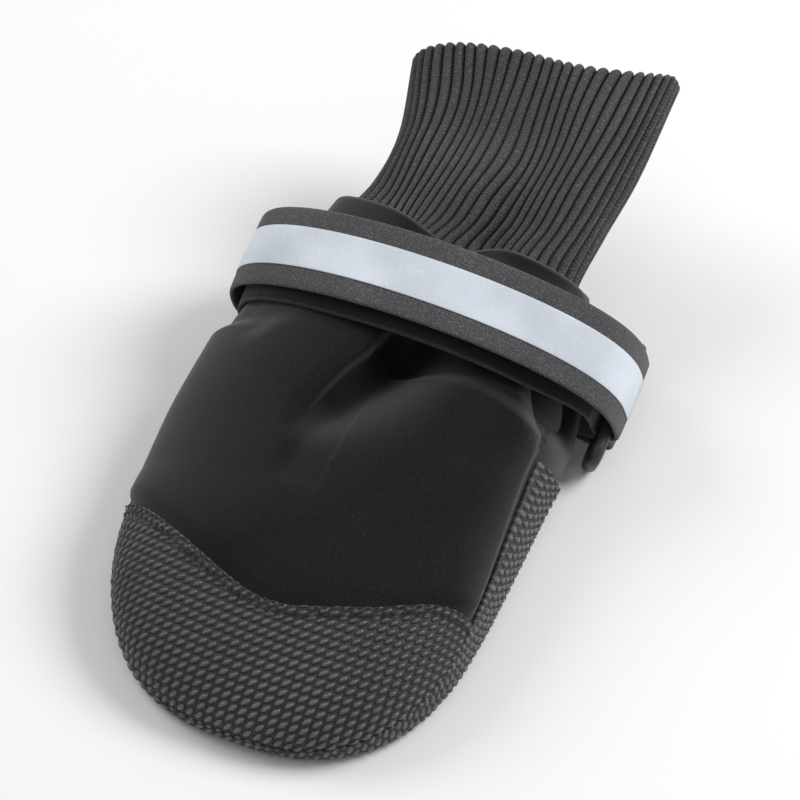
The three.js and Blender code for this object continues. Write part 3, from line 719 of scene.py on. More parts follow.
def fibre_material(name, base, fleck, scale, amount, height, strength, **constants):
    """Material of one base colour with flecks, which are also its fine relief."""
    material, tree, shader = new_material(name, **constants)
    fibre = place_group(tree, "fibre_fleck", fleck_group, Base=tuple(base),
                        Fleck=tuple(fleck * v for v in base), Scale=scale, Amount=amount)
    tree.links.new(fibre.outputs["Color"], shader.inputs["Base Color"])
    bump(tree, shader, fibre.outputs["Height"], height, strength)
    return material, tree, shader, fibre


def reflective_material(c):
    """Silver tape of tiny glass beads: pale, with fine sparkle and a slow shift of tone."""
    return fibre_material("beaded_tape", c.reflective, 1.25, 1500.0, 0.5, 0.00005, 0.5,
                          Roughness=0.5, Specular_IOR_Level=0.5)[0]


def ring_material(c):
    """Moulded plastic with a faint mould grain."""
    material, tree, shader, grain = fibre_material(
        "moulded_plastic", c.ring, 2.2, 700.0, 0.4, 0.00004, 0.4, Specular_IOR_Level=0.5)
    rough = add_node(tree, "ShaderNodeMapRange", {0: grain.outputs["Height"], 3: 0.3, 4: 0.5}).outputs[0]
    tree.links.new(rough, shader.inputs["Roughness"])
    return material


def thread_material(c):
    """Sewing thread, twisted."""
    return fibre_material("sewing_thread", c.thread, 2.5, 3000.0, 0.8, 0.00006, 0.6,
                          Roughness=0.7, Sheen_Weight=0.1)[0]


def foam_material(c):
    """Brushed insole foam."""
    return fibre_material("brushed_foam", c.foam, 2.0, 1200.0, 0.6, 0.0002, 0.6,
                          Roughness=0.95, Specular_IOR_Level=0.2)[0]


# ---- Pieces ----------------------------------------------------------------------------------

def build_upper(s, c):
    """A sock: outer face of the last with its creases, a rounded collar edge and an inner face one wall
    inside, closed at both toe tips. Under the foot it is flat on the sole."""
    last = Last(s, sharp=1.0)
    flat_last = Last(SimpleNamespace(**{**vars(s), "fold_depth": 0.0}))
    painted_shades = []
    columns = 300
    psi = np.arange(columns) * TAU / columns
    psi = psi - 0.35 * np.sin(psi)
    t = np.concatenate([np.linspace(-1, 0, 56)[1:], np.linspace(0, EDGE_ROW, 205)[1:]])

    def face(t_rows, d, shape):
        blend = smooth((t_rows - EDGE_ROW + 2) / 2)[:, None]
        tt = mix(t_rows[:, None], last.collar(psi)[None, :] + (t_rows[:, None] - EDGE_ROW), blend)
        pp = np.broadcast_to(psi, tt.shape)
        base = last.surface(tt, pp)
        n = last.normal(tt, pp)
        lumps = np.zeros(tt.shape)
        if shape:
            # painted shade mask: darker with the depth of the fold, in the creases and at the ankle behind the
            # panel's right corner
            shade = np.linalg.norm(base - flat_last.surface(tt, pp), axis=-1) / (1.8 * s.fold_depth)
            behind = base[..., 1] - last.cap_edge(base[..., 0])
            lumps = relief(last, base, n, s) * smooth(behind / 6)
            shade = shade + 0.9 * np.exp(-(((tt - 3.6) / 0.45) ** 2) - (((pp - 1.25) / 0.35) ** 2))
            painted_shades.append(np.clip(1.25 * shade - lumps / (0.7 * s.fold_depth), 0, 1))
            above = base[..., 2] - last.rim(base[..., 1], np.where(base[..., 0] < 0, -1, 1))
            proud = np.where(base[..., 0] < 0, 2.3, 1.3)
            ends = smooth(behind / 5) * smooth((s.heel_end + 2 - base[..., 1]) / 4)
            lumps = lumps + proud * smooth(above / 1.6) * np.exp(-((np.maximum(0, above - 2) / 9) ** 2)) * ends
            lumps = lumps * smooth((EDGE_ROW - 1.0 - tt) / 0.8)
        p = base + n * (d + lumps)[..., None]
        floor = s.seat_height - (0.23 if shape else 0.07)
        seat = floor * smooth((s.heel_end + s.sole_end_low + 5 - p[..., 1]) / 4)
        p[..., 2] = np.maximum(p[..., 2], seat)
        return p

    outer = face(t, 0.0, True)
    inner_t = np.concatenate([np.linspace(-1, 0, 16)[1:], np.linspace(0, EDGE_ROW, 44)[1:]])[::-1]
    inner = face(inner_t, -s.upper_wall, False)
    rings = np.concatenate([outer, rounded_lip(outer, inner), inner])
    tip_out, tip_in = last.grown(-1.0, 0.0, 0.0), last.grown(-1.0, 0.0, -s.upper_wall)
    points = np.concatenate([rings.reshape(-1, 3), tip_out[None], tip_in[None]])
    painted_shade = np.zeros(len(points))
    painted_shade[:painted_shades[0].size] = painted_shades[0].reshape(-1)
    obj = make_mesh("neoprene_upper", points, grid_faces(len(rings), columns, around=True),
                    material=neoprene_material(c), masks={"painted_shade": painted_shade}, tris=end_fans(len(rings), columns))
    return place(obj, "upper", slot="neoprene")


def sole_angles(last, t, share, d):
    """Angles from the right rim (share 0) under the foot to the left rim (share 1) at each row t."""
    table = np.linspace(-1, 4, 240)
    right = np.interp(t, table, last.rim_angle(table, d))
    left = np.interp(t, table, last.rim_angle(table, d, side=-1))
    return mix(right, TAU - left, share)


def build_sole(s, c):
    """The form grown by clearance and wall, from rim to rim under the foot, flattened on the floor and
    covered with dots; its rear end leans, and it turns in at its rim and closes over the floor."""
    last = Last(s)
    d = s.clearance + s.sole_wall - s.dot_height
    columns = 320
    share = np.linspace(0, 1, columns)
    rim_end = s.heel_end - s.sole_end_high

    def past_end(t):
        at = last.grown(t, sole_angles(last, t, share, d), d)
        rear = mix(s.heel_end + s.sole_end_low, rim_end, np.clip(at[:, 2] / last.rim(rim_end), 0, 1))
        return at[:, 1] > rear

    end = halve(np.zeros(columns), np.full(columns, 3.6), past_end, 24)
    steps = np.concatenate([np.linspace(-1, 0, 126)[1:-1], np.linspace(0, 1, 165)])
    t = np.where(steps[:, None] < 0, steps[:, None], steps[:, None] * end[None, :])
    psi = sole_angles(last, t, share[None, :], d + s.dot_height)
    base = last.grown(t, psi, d)
    normal = last.normal(t, psi)
    floor = s.dot_height
    climb = np.maximum(base[..., 2], floor) - floor
    flat = fabric_map(base, climb, 4.0, s.toe_box_length - s.toe_overhang, SOLE_TURN, SOLE_BEND)
    flatness = smooth((floor + 0.6 - base[..., 2]) / 0.6)
    base[..., 2] = np.maximum(base[..., 2], floor)
    normal = unit(mix(normal, np.array([0, 0, -1.0]), flatness[..., None]))
    edge = smooth(np.minimum(share, 1 - share) * columns / 4)[None, :]
    edge = edge * smooth((1 - steps) * len(steps) / 4)[:, None]
    raised = domes(flat, s) * edge + s.dot_height * 0.6 * (1 - edge)
    p = base + normal * raised[..., None]
    rows_n = len(steps)
    tip = last.grown(-1.0, 0.0, d + 0.5 * s.dot_height)
    # closing loops, from the outer boundary inwards
    boundary = grid_border(rows_n, columns)
    outer_loop = p.reshape(-1, 3)[boundary]
    n_loop = normal.reshape(-1, 3)[boundary]
    inner_loop = outer_loop - n_loop * (s.sole_wall * 0.95)
    centre = np.array([0, -0.5 * (s.toe_overhang - s.heel_end), s.sole_floor])
    low_loop = inner_loop.copy()
    low_loop[:, 2] = np.minimum(inner_loop[:, 2], s.sole_floor)
    low_loop[:, :2] = mix(inner_loop[:, :2], centre[:2], 0.06)
    points = [p.reshape(-1, 3), inner_loop, low_loop, centre[None], tip[None]]
    base_at = rows_n * columns
    m = len(boundary)
    j = np.arange(m)
    k = (j + 1) % m
    faces = [grid_faces(rows_n, columns)]
    faces.append(np.stack([boundary[j], boundary[k], base_at + k, base_at + j], -1))
    faces.append(np.stack([base_at + j, base_at + k, base_at + m + k, base_at + m + j], -1))
    tris = [np.stack([base_at + m + j, base_at + m + k, np.full(m, base_at + 2 * m)], -1)]
    row0 = np.arange(columns - 1)
    tris.append(np.stack([row0 + 1, row0, np.full(columns - 1, base_at + 2 * m + 1)], -1))
    tris.append(np.array([[0, columns - 1, base_at + 2 * m + 1]]))
    uv = np.concatenate([flat.reshape(-1, 2), flat.reshape(-1, 2)[boundary], flat.reshape(-1, 2)[boundary],
                         np.zeros((2, 2))])
    obj = make_mesh("dotted_sole", np.concatenate(points), np.concatenate(faces), uv=uv,
                    material=dotted_material(c, s), tris=np.concatenate(tris))
    return place(obj, "outsole", slot="dotted_fabric")


def build_cap(s, c):
    """The form grown by clearance and wall, from rim to rim over the foot and from the toe tip to the
    cap's edge, with dots and a folded hem along its rear edge; it turns in at all its edges."""
    last = Last(s)
    d = s.clearance + s.cap_wall - s.dot_height
    rows, columns = 190, 340
    across = np.linspace(-1, 1, columns)
    table = np.linspace(-1, 0.9, 90)
    right, left = (last.rim_angle(table, d + s.dot_height, s.clearance, side) for side in (1, -1))

    def angles(t):
        return across * np.where(across > 0, np.interp(t, table, right), np.interp(t, table, left))

    def past_edge(t):
        at = last.grown(t, angles(t), d)
        return at[:, 1] > last.cap_edge(at[:, 0])

    end = halve(np.full(columns, -0.95), np.full(columns, 0.9), past_edge, 24)
    t = -1 + np.linspace(0, 1, rows + 1)[1:, None] * (end + 1)
    psi = angles(t)
    base = last.grown(t, psi, d)
    normal = last.normal(t, psi)
    crown = last.surface(t, np.zeros_like(psi))[..., 2].max() + d
    flat = fabric_map(base, crown - base[..., 2], 0.8 * crown, s.toe_box_length - s.toe_overhang,
                      CAP_TURN, CAP_BEND)
    from_edge = last.cap_edge(base[..., 0]) - base[..., 1]
    hem = smooth((2.1 - from_edge) / 0.5)
    seam = np.exp(-(((from_edge - 2.35) / 0.38) ** 2))
    border = smooth(np.minimum(np.arange(columns), columns - 1 - np.arange(columns)) / 4)[None, :]
    raised = domes(flat, s) * (1 - 0.3 * hem) * border * (1 - seam)
    raised = raised + 0.35 * hem * smooth(from_edge / 0.35) - 0.3 * seam
    p = base + normal * raised[..., None]
    boundary = grid_border(rows, columns)
    m = len(boundary)
    outer_loop = p.reshape(-1, 3)[boundary]
    n_loop = normal.reshape(-1, 3)[boundary]
    inner_loop = outer_loop - n_loop * (s.cap_wall + 0.1)
    base_at = rows * columns
    j = np.arange(m - 1)
    faces = [grid_faces(rows, columns), np.stack([boundary[j], boundary[j + 1], base_at + j + 1, base_at + j], -1)]
    tip = last.grown(-1.0, 0.0, d)
    row0 = np.arange(columns - 1)
    tris = [np.stack([row0 + 1, row0, np.full(columns - 1, base_at + m)], -1)]
    uv = np.concatenate([flat.reshape(-1, 2), flat.reshape(-1, 2)[boundary], np.zeros((1, 2))])
    obj = make_mesh("dotted_toe_cap", np.concatenate([p.reshape(-1, 3), inner_loop, tip[None]]),
                    np.concatenate(faces), uv=uv, material=dotted_material(c, s), tris=np.concatenate(tris))
    return place(obj, "toe_cap", slot="dotted_fabric")


def build_cuff(s, c):
    """Rib knit sleeve: the last one neoprene wall inside, ribs as rounded ridges between narrow grooves,
    a rounded fold at the top and a smooth inner face, closed into one ring."""
    last = Last(s)
    per_rib = 10
    columns = s.rib_count * per_rib
    fine = np.linspace(0, TAU, 2001)
    round_leg = last.grown(CUFF_ROW - 0.8, fine, -s.upper_wall - 1)
    run = np.concatenate([[0], np.cumsum(np.linalg.norm(np.diff(round_leg, axis=0), axis=1))])
    psi = np.interp(np.arange(columns) / columns * run[-1], run, fine)
    phase = (np.arange(columns) % per_rib) / per_rib
    ridge = np.abs(np.sin(math.pi * phase)) ** 0.7
    outside = s.upper_wall + 0.55
    top = CUFF_ROW
    t = np.linspace(EDGE_ROW - 0.55, top - 0.06, 96)

    def loop(rows, d, rib):
        tt = np.broadcast_to(rows[:, None], (len(rows), columns))
        turn = (psi + math.pi) % TAU - math.pi
        low = smooth((EDGE_ROW + 1.9 - tt) / 1.9)
        pp = turn - 0.30 * low * (turn + 0.15) * np.exp(-(((turn + 0.15) / 0.8) ** 2))
        pp = pp + 0.012 * np.sin(2.3 * tt + 9 * turn) + 0.008 * np.sin(5.1 * tt - 4 * turn)
        wobble = 0.12 * np.sin(3 * pp + 2.1 * tt) + 0.10 * np.sin(7 * pp - 1.3 * tt)
        hollow = np.exp(-((np.sin((pp + 0.12) / 2) / 0.24) ** 2) - (((tt - CUFF_ROW + 0.75) / 0.75) ** 2))
        deep = rib * (1 - 0.6 * hollow) * (1 - ridge)
        return last.grown(tt, pp, wobble - d - deep - 5.5 * hollow)

    outer = loop(t, outside, s.rib_depth)
    inner = loop(np.linspace(top - 0.06, EDGE_ROW - 0.55, 30), outside + s.cuff_wall, 0.0)
    lip = rounded_lip(outer, inner, 1.1)
    rings = np.concatenate([outer, lip, inner])
    faces = grid_faces(len(rings), columns, around=True, ring=True)
    steps = np.linalg.norm(np.diff(rings, axis=0), axis=-1).mean(1)
    run = np.concatenate([[0], np.cumsum(steps)])
    uv = np.stack(np.broadcast_arrays((np.arange(columns) / per_rib)[None, :], run[:, None]), -1)
    # painted shade mask between the ribs: full on the outer face, fading over the lip, none on the inner face
    groove_shade_rows = np.concatenate([np.ones(len(t)), np.linspace(1, 0.2, len(lip)), np.zeros(len(inner))])
    groove_shade = smooth((0.7 - ridge) / 0.5)[None, :] * groove_shade_rows[:, None]
    obj = make_mesh("rib_knit_cuff", rings, faces, uv=uv, material=knit_material(c), masks={"groove_shade": groove_shade})
    return place(obj, "knit_cuff", slot="rib_knit")


class Strap:
    """The strap's plane and the path of its two layers round the leg."""

    layer_gap = 1.6
    left_inset = 3.2
    slide = 3.0
    start, fold, end = (math.radians(v) for v in (-176, 88, -140))
    ring_drop = 2.2
    ring_hang = math.radians(74)

    def __init__(self, s):
        self.s = s
        self.middle = np.array([0.05 * s.half_ball, ANKLE_ALONG * s.foot_length + 0.162 * s.shaft_length,
                                0.42 * s.instep_height])
        self.axis = np.array([0, math.cos(s.strap_tilt), math.sin(s.strap_tilt)])
        self.up = np.array([0, -math.sin(s.strap_tilt), math.cos(s.strap_tilt)])
        last = Last(s)
        t, psi = np.meshgrid(np.arange(2, EDGE_ROW + 0.05, 0.05), np.arange(240) * TAU / 240, indexing="ij")
        rel = last.surface(t, psi).reshape(-1, 3) - self.middle
        rel = rel[np.abs(rel @ self.axis) <= s.strap_width / 2 + self.slide]
        rise = rel @ self.up
        self.angles = np.arctan2(rel[:, 0], rise)
        self.radii = np.hypot(rel[:, 0], rise)
        self.half_layer = s.strap_thickness / 2
        self.next_layer = s.strap_thickness + s.clearance
        self.under_up = rise.min() - s.clearance - self.half_layer
        self.fold_radius = s.ring_bar / 2 + s.clearance + self.half_layer
        self.pitch = s.ring_bar + s.ring_slot
        self.near = np.array([s.strap_half_span - self.fold_radius, -self.ring_drop])
        self.far = self.near - self.pitch * np.array([math.cos(self.ring_hang), math.sin(self.ring_hang)])

    def world(self, flat, along=0.0):
        """Points of the strap's plane, given by x and height up the plane, moved along the axis."""
        flat = np.asarray(flat, float)
        return (self.middle + flat[..., 1:2] * self.up + np.asarray(along)[..., None] * self.axis
                + flat[..., 0:1] * np.array([1.0, 0, 0]))

    def layer(self, psi, half, up, under, gap):
        """A rounded square round the leg, moved outwards where the neoprene would be in its way."""
        c, q = rounded_square(psi, mix(2.15, 3.0, (1 - np.cos(psi)) / 2))
        flat = np.stack([half * q, np.where(c > 0, c * up, c * -under)], -1)
        angle = np.arctan2(flat[:, 0], flat[:, 1])
        apart = np.cos(self.angles[None, :] - angle[:, None]) > math.cos(0.05)
        least = np.where(apart, self.radii[None, :], 0).max(1) + gap
        radius = np.linalg.norm(flat, axis=1)
        wanted = np.maximum(radius, least)
        soft = np.convolve(np.pad(wanted, 6, mode="edge"), np.hanning(13) / np.hanning(13).sum(), "valid")
        return flat * (np.maximum(soft, wanted) / radius)[:, None]

    def layers(self):
        """Inner layer, half turn round the ring's bar, and outer layer."""
        s = self.s
        psi = np.linspace(self.start, self.fold, 150)
        inner_half = mix(s.strap_half_span - self.left_inset, self.near[0] - self.fold_radius,
                         smooth((np.sin(psi) + 1) / 2))
        inner = self.layer(psi, inner_half, s.strap_rise - s.strap_thickness - self.layer_gap, self.under_up,
                           s.clearance + self.half_layer)
        outer_psi = np.linspace(self.fold, self.end, 140)
        outer = self.layer(outer_psi, s.strap_half_span, s.strap_rise, self.under_up - self.next_layer,
                           self.next_layer + s.clearance + self.half_layer)
        turn = self.bend(self.near, math.pi, TAU, 24)
        return inner, turn, outer

    def bend(self, centre, a, b, count):
        """Part of a circle of the band round a bar."""
        angle = np.linspace(a, b, count + 1)
        return centre + self.fold_radius * np.stack([np.cos(angle), np.sin(angle)], -1)


def band(strap, path, width, thickness, offset=0.0, slide=0.0, edge=0.0):
    """A flat band along a path in the strap's plane: a rounded bar section carried along it. Returns
    the points, faces, end faces and flat coordinates."""
    path = np.asarray(path, float)
    run = unit(np.gradient(path, axis=0))
    out = np.stack([-run[:, 1], run[:, 0]], -1)
    count = 24
    angle = (np.arange(count) + 0.5) * TAU / count
    side, face = np.cos(angle), np.sin(angle)
    side = np.sign(side) * np.abs(side) ** 0.35
    face = np.sign(face) * np.abs(face) ** 0.6
    bead = 1 + edge * smooth((np.abs(side) - 0.8) / 0.15)
    reach = offset + face * bead * thickness / 2
    flat = path[:, None, :] + out[:, None, :] * reach[None, :, None]
    along = side * width / 2 + np.broadcast_to(np.asarray(slide), (len(path),))[:, None]
    points = strap.world(flat, along)
    n = len(path)
    faces, tris = grid_faces(n, count, around=True), end_fans(n, count)
    centres = points[[0, -1]].mean(1)
    length_run = np.concatenate([[0], np.cumsum(np.linalg.norm(np.diff(path, axis=0), axis=1))])
    uv = np.stack(np.broadcast_arrays(length_run[:, None], side[None, :] * width / 2), -1)
    uv = np.concatenate([uv.reshape(-1, 2), np.zeros((2, 2))])
    return np.concatenate([points.reshape(-1, 3), centres]), faces, tris, uv


def build_strap(s, c):
    """The band along the inner layer, the turn round the bar and the outer layer."""
    strap = Strap(s)
    inner, turn, outer = strap.layers()
    path = np.concatenate([inner, turn[1:], outer[1:]])
    share = np.linspace(0, 1, len(path)) * len(path) / len(inner)
    slide = -strap.slide * smooth(4 * share) * smooth(5 * (1 - share))
    points, faces, tris, uv = band(strap, path, s.strap_width, s.strap_thickness, slide=slide, edge=0.12)
    edge = np.abs(uv[:-2, 1].reshape(len(path), -1)) > 0.485 * s.strap_width
    # inner layer mask, darkened for its loop face and painted shade, a little less at its edges
    pile_and_shade = np.where((np.arange(len(path)) < len(inner) - 6)[:, None], np.where(edge, 0.7, 1.0), 0.0)
    pile_and_shade = np.concatenate([pile_and_shade.reshape(-1), [0, 0]])
    obj = make_mesh("elastic_strap", points, faces, uv=uv, material=webbing_material(c), masks={"pile_and_shade": pile_and_shade},
                    tris=tris, flip=True)
    return place(obj, "strap", slot="webbing")


def build_stripe(s, c):
    """The reflective tape on the outer layer."""
    strap = Strap(s)
    _, _, outer = strap.layers()
    thickness = 0.35
    path = np.concatenate([[[s.strap_half_span, -strap.ring_drop]], outer])
    points, faces, tris, uv = band(strap, path, s.reflective_width, thickness,
                                   offset=-(strap.half_layer + thickness / 2 - 0.05))
    obj = make_mesh("reflective_stripe", points, faces, uv=uv, material=reflective_material(c), tris=tris, flip=True)
    return place(obj, "reflective_strip", slot="reflective_tape")


def build_ring(s, c):
    """A rounded bar section carried round a rounded rectangle through both bars."""
    strap = Strap(s)
    half_bar, corner, shift = s.ring_bar / 2, 2.4, 1.7
    ends = np.array([-1, 1]) * (s.ring_length / 2 - half_bar) - shift
    path = []
    for i, (across, along) in enumerate([(0, ends[0]), (strap.pitch, ends[0]), (strap.pitch, ends[1]), (0, ends[1])]):
        inward = np.array([-corner if across > 0 else corner, corner if along < 0 else -corner])
        angle = np.linspace(1 + i / 2, 1.5 + i / 2, 12) * math.pi
        path.append(np.array([across, along]) + inward + corner * np.stack([np.cos(angle), np.sin(angle)], -1))
    path = np.concatenate(path)
    across_axis = unit(np.array([strap.far[0] - strap.near[0], 0, 0])
                       + strap.up * (strap.far[1] - strap.near[1]))
    normal = np.cross(across_axis, strap.axis)
    run = unit(np.roll(path, -1, axis=0) - np.roll(path, 1, axis=0))
    centre = strap.world(strap.near) + path[:, :1] * across_axis + path[:, 1:] * strap.axis
    out = run[:, 1:] * across_axis - run[:, :1] * strap.axis
    sides = 20
    angle = np.arange(sides) * TAU / sides
    wide = np.sign(np.cos(angle)) * np.abs(np.cos(angle)) ** 0.8
    tall = np.sign(np.sin(angle)) * np.abs(np.sin(angle)) ** 0.8
    points = centre[:, None] + half_bar * 0.97 * (wide[None, :, None] * out[:, None]
                                                  + 0.92 * tall[None, :, None] * normal)
    obj = make_mesh("strap_ring_bar", points, grid_faces(len(path), sides, around=True, ring=True),
                    material=ring_material(c))
    return place(obj, "strap_ring", slot="ring_plastic")


def build_tab(s, c):
    """The webbing loop: along under the ankle, round the far bar and back."""
    strap = Strap(s)
    turn = strap.bend(strap.far, 2 / 3 * math.pi, -math.pi / 2, 24)
    leave = strap.far[0] - 2 * strap.pitch
    lower = strap.under_up - strap.next_layer
    first = np.array([[3.0, strap.under_up], [(3.0 + leave) / 2, strap.under_up], [leave, strap.under_up]])
    final = np.array([[leave + strap.pitch, lower - s.clearance], [leave, lower], [12.0, lower]])
    path = curve_points(np.concatenate([first, turn[::4], final]), 140)
    points, faces, tris, uv = band(strap, path, s.strap_width, s.strap_thickness, edge=0.12)
    obj = make_mesh("ring_webbing_loop", points, faces, uv=uv,
                    material=webbing_material(c), tris=tris, flip=True)
    return place(obj, "ring_tab", slot="webbing")


def build_insole(s, c):
    """Foam pad: the last's plan one wall inside, with a soft crown and rounded edges."""
    last = Last(s)
    count = 200
    bottom, top = s.seat_height, s.seat_height + s.insole_thickness
    end = s.heel_end - 2.0
    t = np.concatenate([np.linspace(-1, 0, 60), np.linspace(0, 2, 60)[1:]])
    edge = last.grown(t, np.full_like(t, math.pi * 0.62), -(s.upper_wall + s.clearance))
    edge = edge[edge[:, 1] < end]
    edge = np.concatenate([edge, [[edge[-1, 0], end, 0]]])
    left = edge[::-1] * [-1, 1, 1]
    loop = np.concatenate([edge, left])[:, :2]
    step = np.concatenate([[0], np.cumsum(np.linalg.norm(np.diff(loop, axis=0, append=loop[:1]), axis=1))])
    at = np.linspace(0, step[-1], count, endpoint=False)
    closed = np.vstack([loop, loop[:1]])
    loop = np.stack([np.interp(at, step, closed[:, 0]), np.interp(at, step, closed[:, 1])], -1)
    middle = loop.mean(0)
    shares = np.concatenate([[0.02], np.linspace(0.15, 0.97, 12), [0.995, 1.0, 0.995], np.linspace(0.97, 0.02, 8)])
    levels = np.concatenate([[top], np.full(12, top), [top - 0.35, (top + bottom) / 2, bottom + 0.35],
                             np.full(8, bottom)])
    plan = middle + (loop - middle)[None] * shares[:, None, None]
    points = np.concatenate([plan, np.broadcast_to(levels[:, None, None], (*plan.shape[:2], 1))], -1)
    n = len(shares)
    centres = points[[0, -1]].mean(1)
    obj = make_mesh("foam_insole", np.concatenate([points.reshape(-1, 3), centres]),
                    grid_faces(n, count, around=True), material=foam_material(c), tris=end_fans(n, count))
    place(obj, "insole", slot="insole_foam")
    return obj


def build_stitches(s, c):
    """Short threads in two rows along the cap's hem: each a bent capsule whose middle rises a little,
    all in one mesh."""
    last = Last(s)
    d, pitch = s.clearance + s.cap_wall, 1.9
    table = np.linspace(-0.9, 0.9, 220)
    across = np.linspace(-1.25, 1.25, 300)
    grid = last.grown(table[:, None], across[None, :], d)
    starts, finishes, normals, radii = [], [], [], []
    for inset in (0.75, 2.35):
        gone = grid[..., 1] + inset - last.cap_edge(grid[..., 0])
        t, psi = table[np.argmin(np.abs(gone), 0)], across
        p = last.grown(t, psi, d + (0.32 if inset < 2 else 0.12))
        p = np.stack([np.convolve(np.pad(p[:, a], 5, mode="edge"), np.ones(11) / 11, "valid") for a in range(3)], -1)
        keep = p[:, 2] > last.rim(p[:, 1], np.sign(across)) + 2.2
        p, n = p[keep], last.normal(t, psi)[keep]
        way = np.concatenate([[0], np.cumsum(np.linalg.norm(np.diff(p, axis=0), axis=1))])
        first = np.arange(pitch / 2, way[-1] - pitch, pitch)
        for at, store in ((first, starts), (first + 0.68 * pitch, finishes)):
            store.append(np.stack([np.interp(at, way, p[:, a]) for a in range(3)], -1))
        normals.append(unit(np.stack([np.interp(first, way, n[:, a]) for a in range(3)], -1)))
        radii.append(np.full(len(first), 0.22))
    a, b, n = (np.concatenate(v) for v in (starts, finishes, normals))
    r = np.concatenate(radii)
    steps = np.linspace(0, 1, 7)
    line = a[:, None] + (b - a)[:, None] * steps[None, :, None]
    line = line + n[:, None] * (0.28 * np.sin(math.pi * steps) - 0.12)[None, :, None]
    run = unit(b - a)
    side = unit(np.cross(run, n))
    lift = np.cross(side, run)
    girth = r[:, None] * np.sqrt(np.maximum(0.02, 1 - (2 * steps - 1) ** 4))[None, :]
    angle = np.arange(8) * TAU / 8
    section = np.cos(angle)[:, None] * side[:, None, None, :] + np.sin(angle)[:, None] * lift[:, None, None, :]
    points = line[:, :, None, :] + girth[:, :, None, None] * section
    count, rows, columns = points.shape[:3]
    threads = (np.arange(count) * rows * columns)[:, None, None]
    faces = (grid_faces(rows, columns, around=True)[None] + threads).reshape(-1, 4)
    obj = make_mesh("hem_stitches", points, faces, material=thread_material(c))
    return place(obj, slot="dotted_fabric")


def build_stage(c):
    """Pale floor, soft lamps, a pale sky and the camera at the photo's angle."""
    half_side = 4.0
    corners = np.array([[-1, -1, 0], [1, -1, 0], [1, 1, 0], [-1, 1, 0]], float) * half_side / MM
    material, tree, shader = new_material("studio_floor", Roughness=0.9, Specular_IOR_Level=0.1)
    shader.inputs["Base Color"].default_value = (*c.floor, 1)
    floor = make_mesh("studio_floor", corners, np.array([[0, 1, 2, 3]]), material=material)
    scene = bpy.context.scene
    scene.view_settings.view_transform = "Standard"
    world = bpy.data.worlds.new("studio_sky")
    world.use_nodes = True
    background = world.node_tree.nodes["Background"]
    background.inputs["Color"].default_value = (1.0, 1.0, 1.0, 1)
    background.inputs["Strength"].default_value = 0.36
    scene.world = world
    for name, azimuth, elevation, far, size, power in (
            ("key_lamp", 122, 44, 1.1, 0.6, 8.5),
            ("left_lamp", 264, 40, 1.1, 0.8, 4.5),
            ("front_lamp", 20, 70, 1.2, 0.7, 0.8)):
        lamp = bpy.data.lights.new(name, "AREA")
        lamp.shape = "DISK"
        lamp.size = size
        lamp.energy = power
        look_at_boot(name, lamp, azimuth, elevation, far)
    camera = bpy.data.cameras.new("photo_camera")
    camera.lens = 180.7
    camera.sensor_width = 36.0
    camera.clip_start = 0.05
    camera.clip_end = 20.0
    scene.camera = look_at_boot("photo_camera", camera, 24, 50, 0.9)


def look_at_boot(name, data, azimuth, elevation, far):
    """Lamp or camera far from the middle of the boot, turned to it with Z up. Azimuth 0 is in front."""
    a, e = math.radians(azimuth), math.radians(elevation)
    towards = np.array([math.sin(a) * math.cos(e), -math.cos(a) * math.cos(e), math.sin(e)])
    obj = bpy.data.objects.new(name, data)
    obj.location = np.array(BOOT_MIDDLE) * MM + towards * far
    obj.rotation_euler = Vector(tuple(-towards)).to_track_quat("-Z", "Y").to_euler()
    bpy.context.scene.collection.objects.link(obj)
    return obj


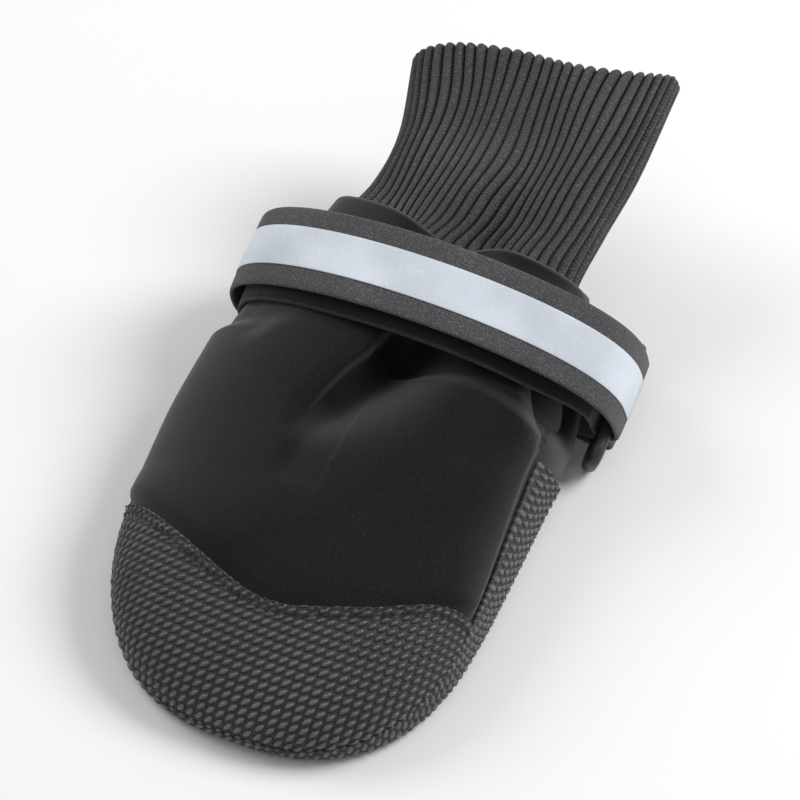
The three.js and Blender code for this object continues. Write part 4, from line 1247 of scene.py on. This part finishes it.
def piece_operator(key, label, text, build):
    """An Operator class that builds one piece or group of pieces."""

    def execute(self, context):
        build(sizes(), context.scene.boot_colours)
        return {"FINISHED"}

    return type("BOOT_OT_" + key, (bpy.types.Operator,), {
        "bl_idname": "boot." + key, "bl_label": label, "__doc__": text, "execute": execute})


OPERATORS = [
    piece_operator("upper", "Neoprene upper", "Build the neoprene upper with its creases", build_upper),
    piece_operator("sole", "Dotted sole", "Build the sole with its raised dots", build_sole),
    piece_operator("toe_cap", "Toe cap", "Build the dotted toe cap and its hem", build_cap),
    piece_operator("cuff", "Rib knit cuff", "Build the rib knit cuff", build_cuff),
    piece_operator("strap", "Strap", "Build the elastic strap", build_strap),
    piece_operator("stripe", "Reflective stripe", "Build the reflective tape", build_stripe),
    piece_operator("ring", "Ring", "Build the plastic ring", build_ring),
    piece_operator("ring_loop", "Ring loop", "Build the webbing loop of the ring", build_tab),
    piece_operator("insole", "Insole", "Build the foam insole", build_insole),
    piece_operator("stitches", "Stitches", "Build the stitches of the hems", build_stitches),
    piece_operator("stage", "Studio", "Build the floor, the lamps and the camera", lambda s, c: build_stage(c)),
]


class BOOT_PT_panel(bpy.types.Panel):
    """Sidebar panel with the boot's sizes, colours and building steps"""

    bl_idname = "BOOT_PT_panel"
    bl_label = "Dog boot"
    bl_space_type = "VIEW_3D"
    bl_region_type = "UI"
    bl_category = "Dog boot"

    def draw(self, context):
        column = self.layout.column()
        for operator in OPERATORS:
            column.operator(operator.bl_idname)
        for group, names in ((context.scene.boot_sizes, BootSizes.__annotations__),
                             (context.scene.boot_colours, BootColours.__annotations__)):
            box = self.layout.box()
            for name in names:
                box.prop(group, name)


CLASSES = [BootSizes, BootColours, *OPERATORS, BOOT_PT_panel]


def register():
    for cls in CLASSES:
        bpy.utils.register_class(cls)
    bpy.types.Scene.boot_sizes = bpy.props.PointerProperty(type=BootSizes)
    bpy.types.Scene.boot_colours = bpy.props.PointerProperty(type=BootColours)


def unregister():
    del bpy.types.Scene.boot_colours
    del bpy.types.Scene.boot_sizes
    for cls in reversed(CLASSES):
        bpy.utils.unregister_class(cls)


def main():
    register()
    for operator in OPERATORS:
        getattr(bpy.ops.boot, operator.bl_idname.split(".")[1])()


if __name__ == "__main__":
    main()
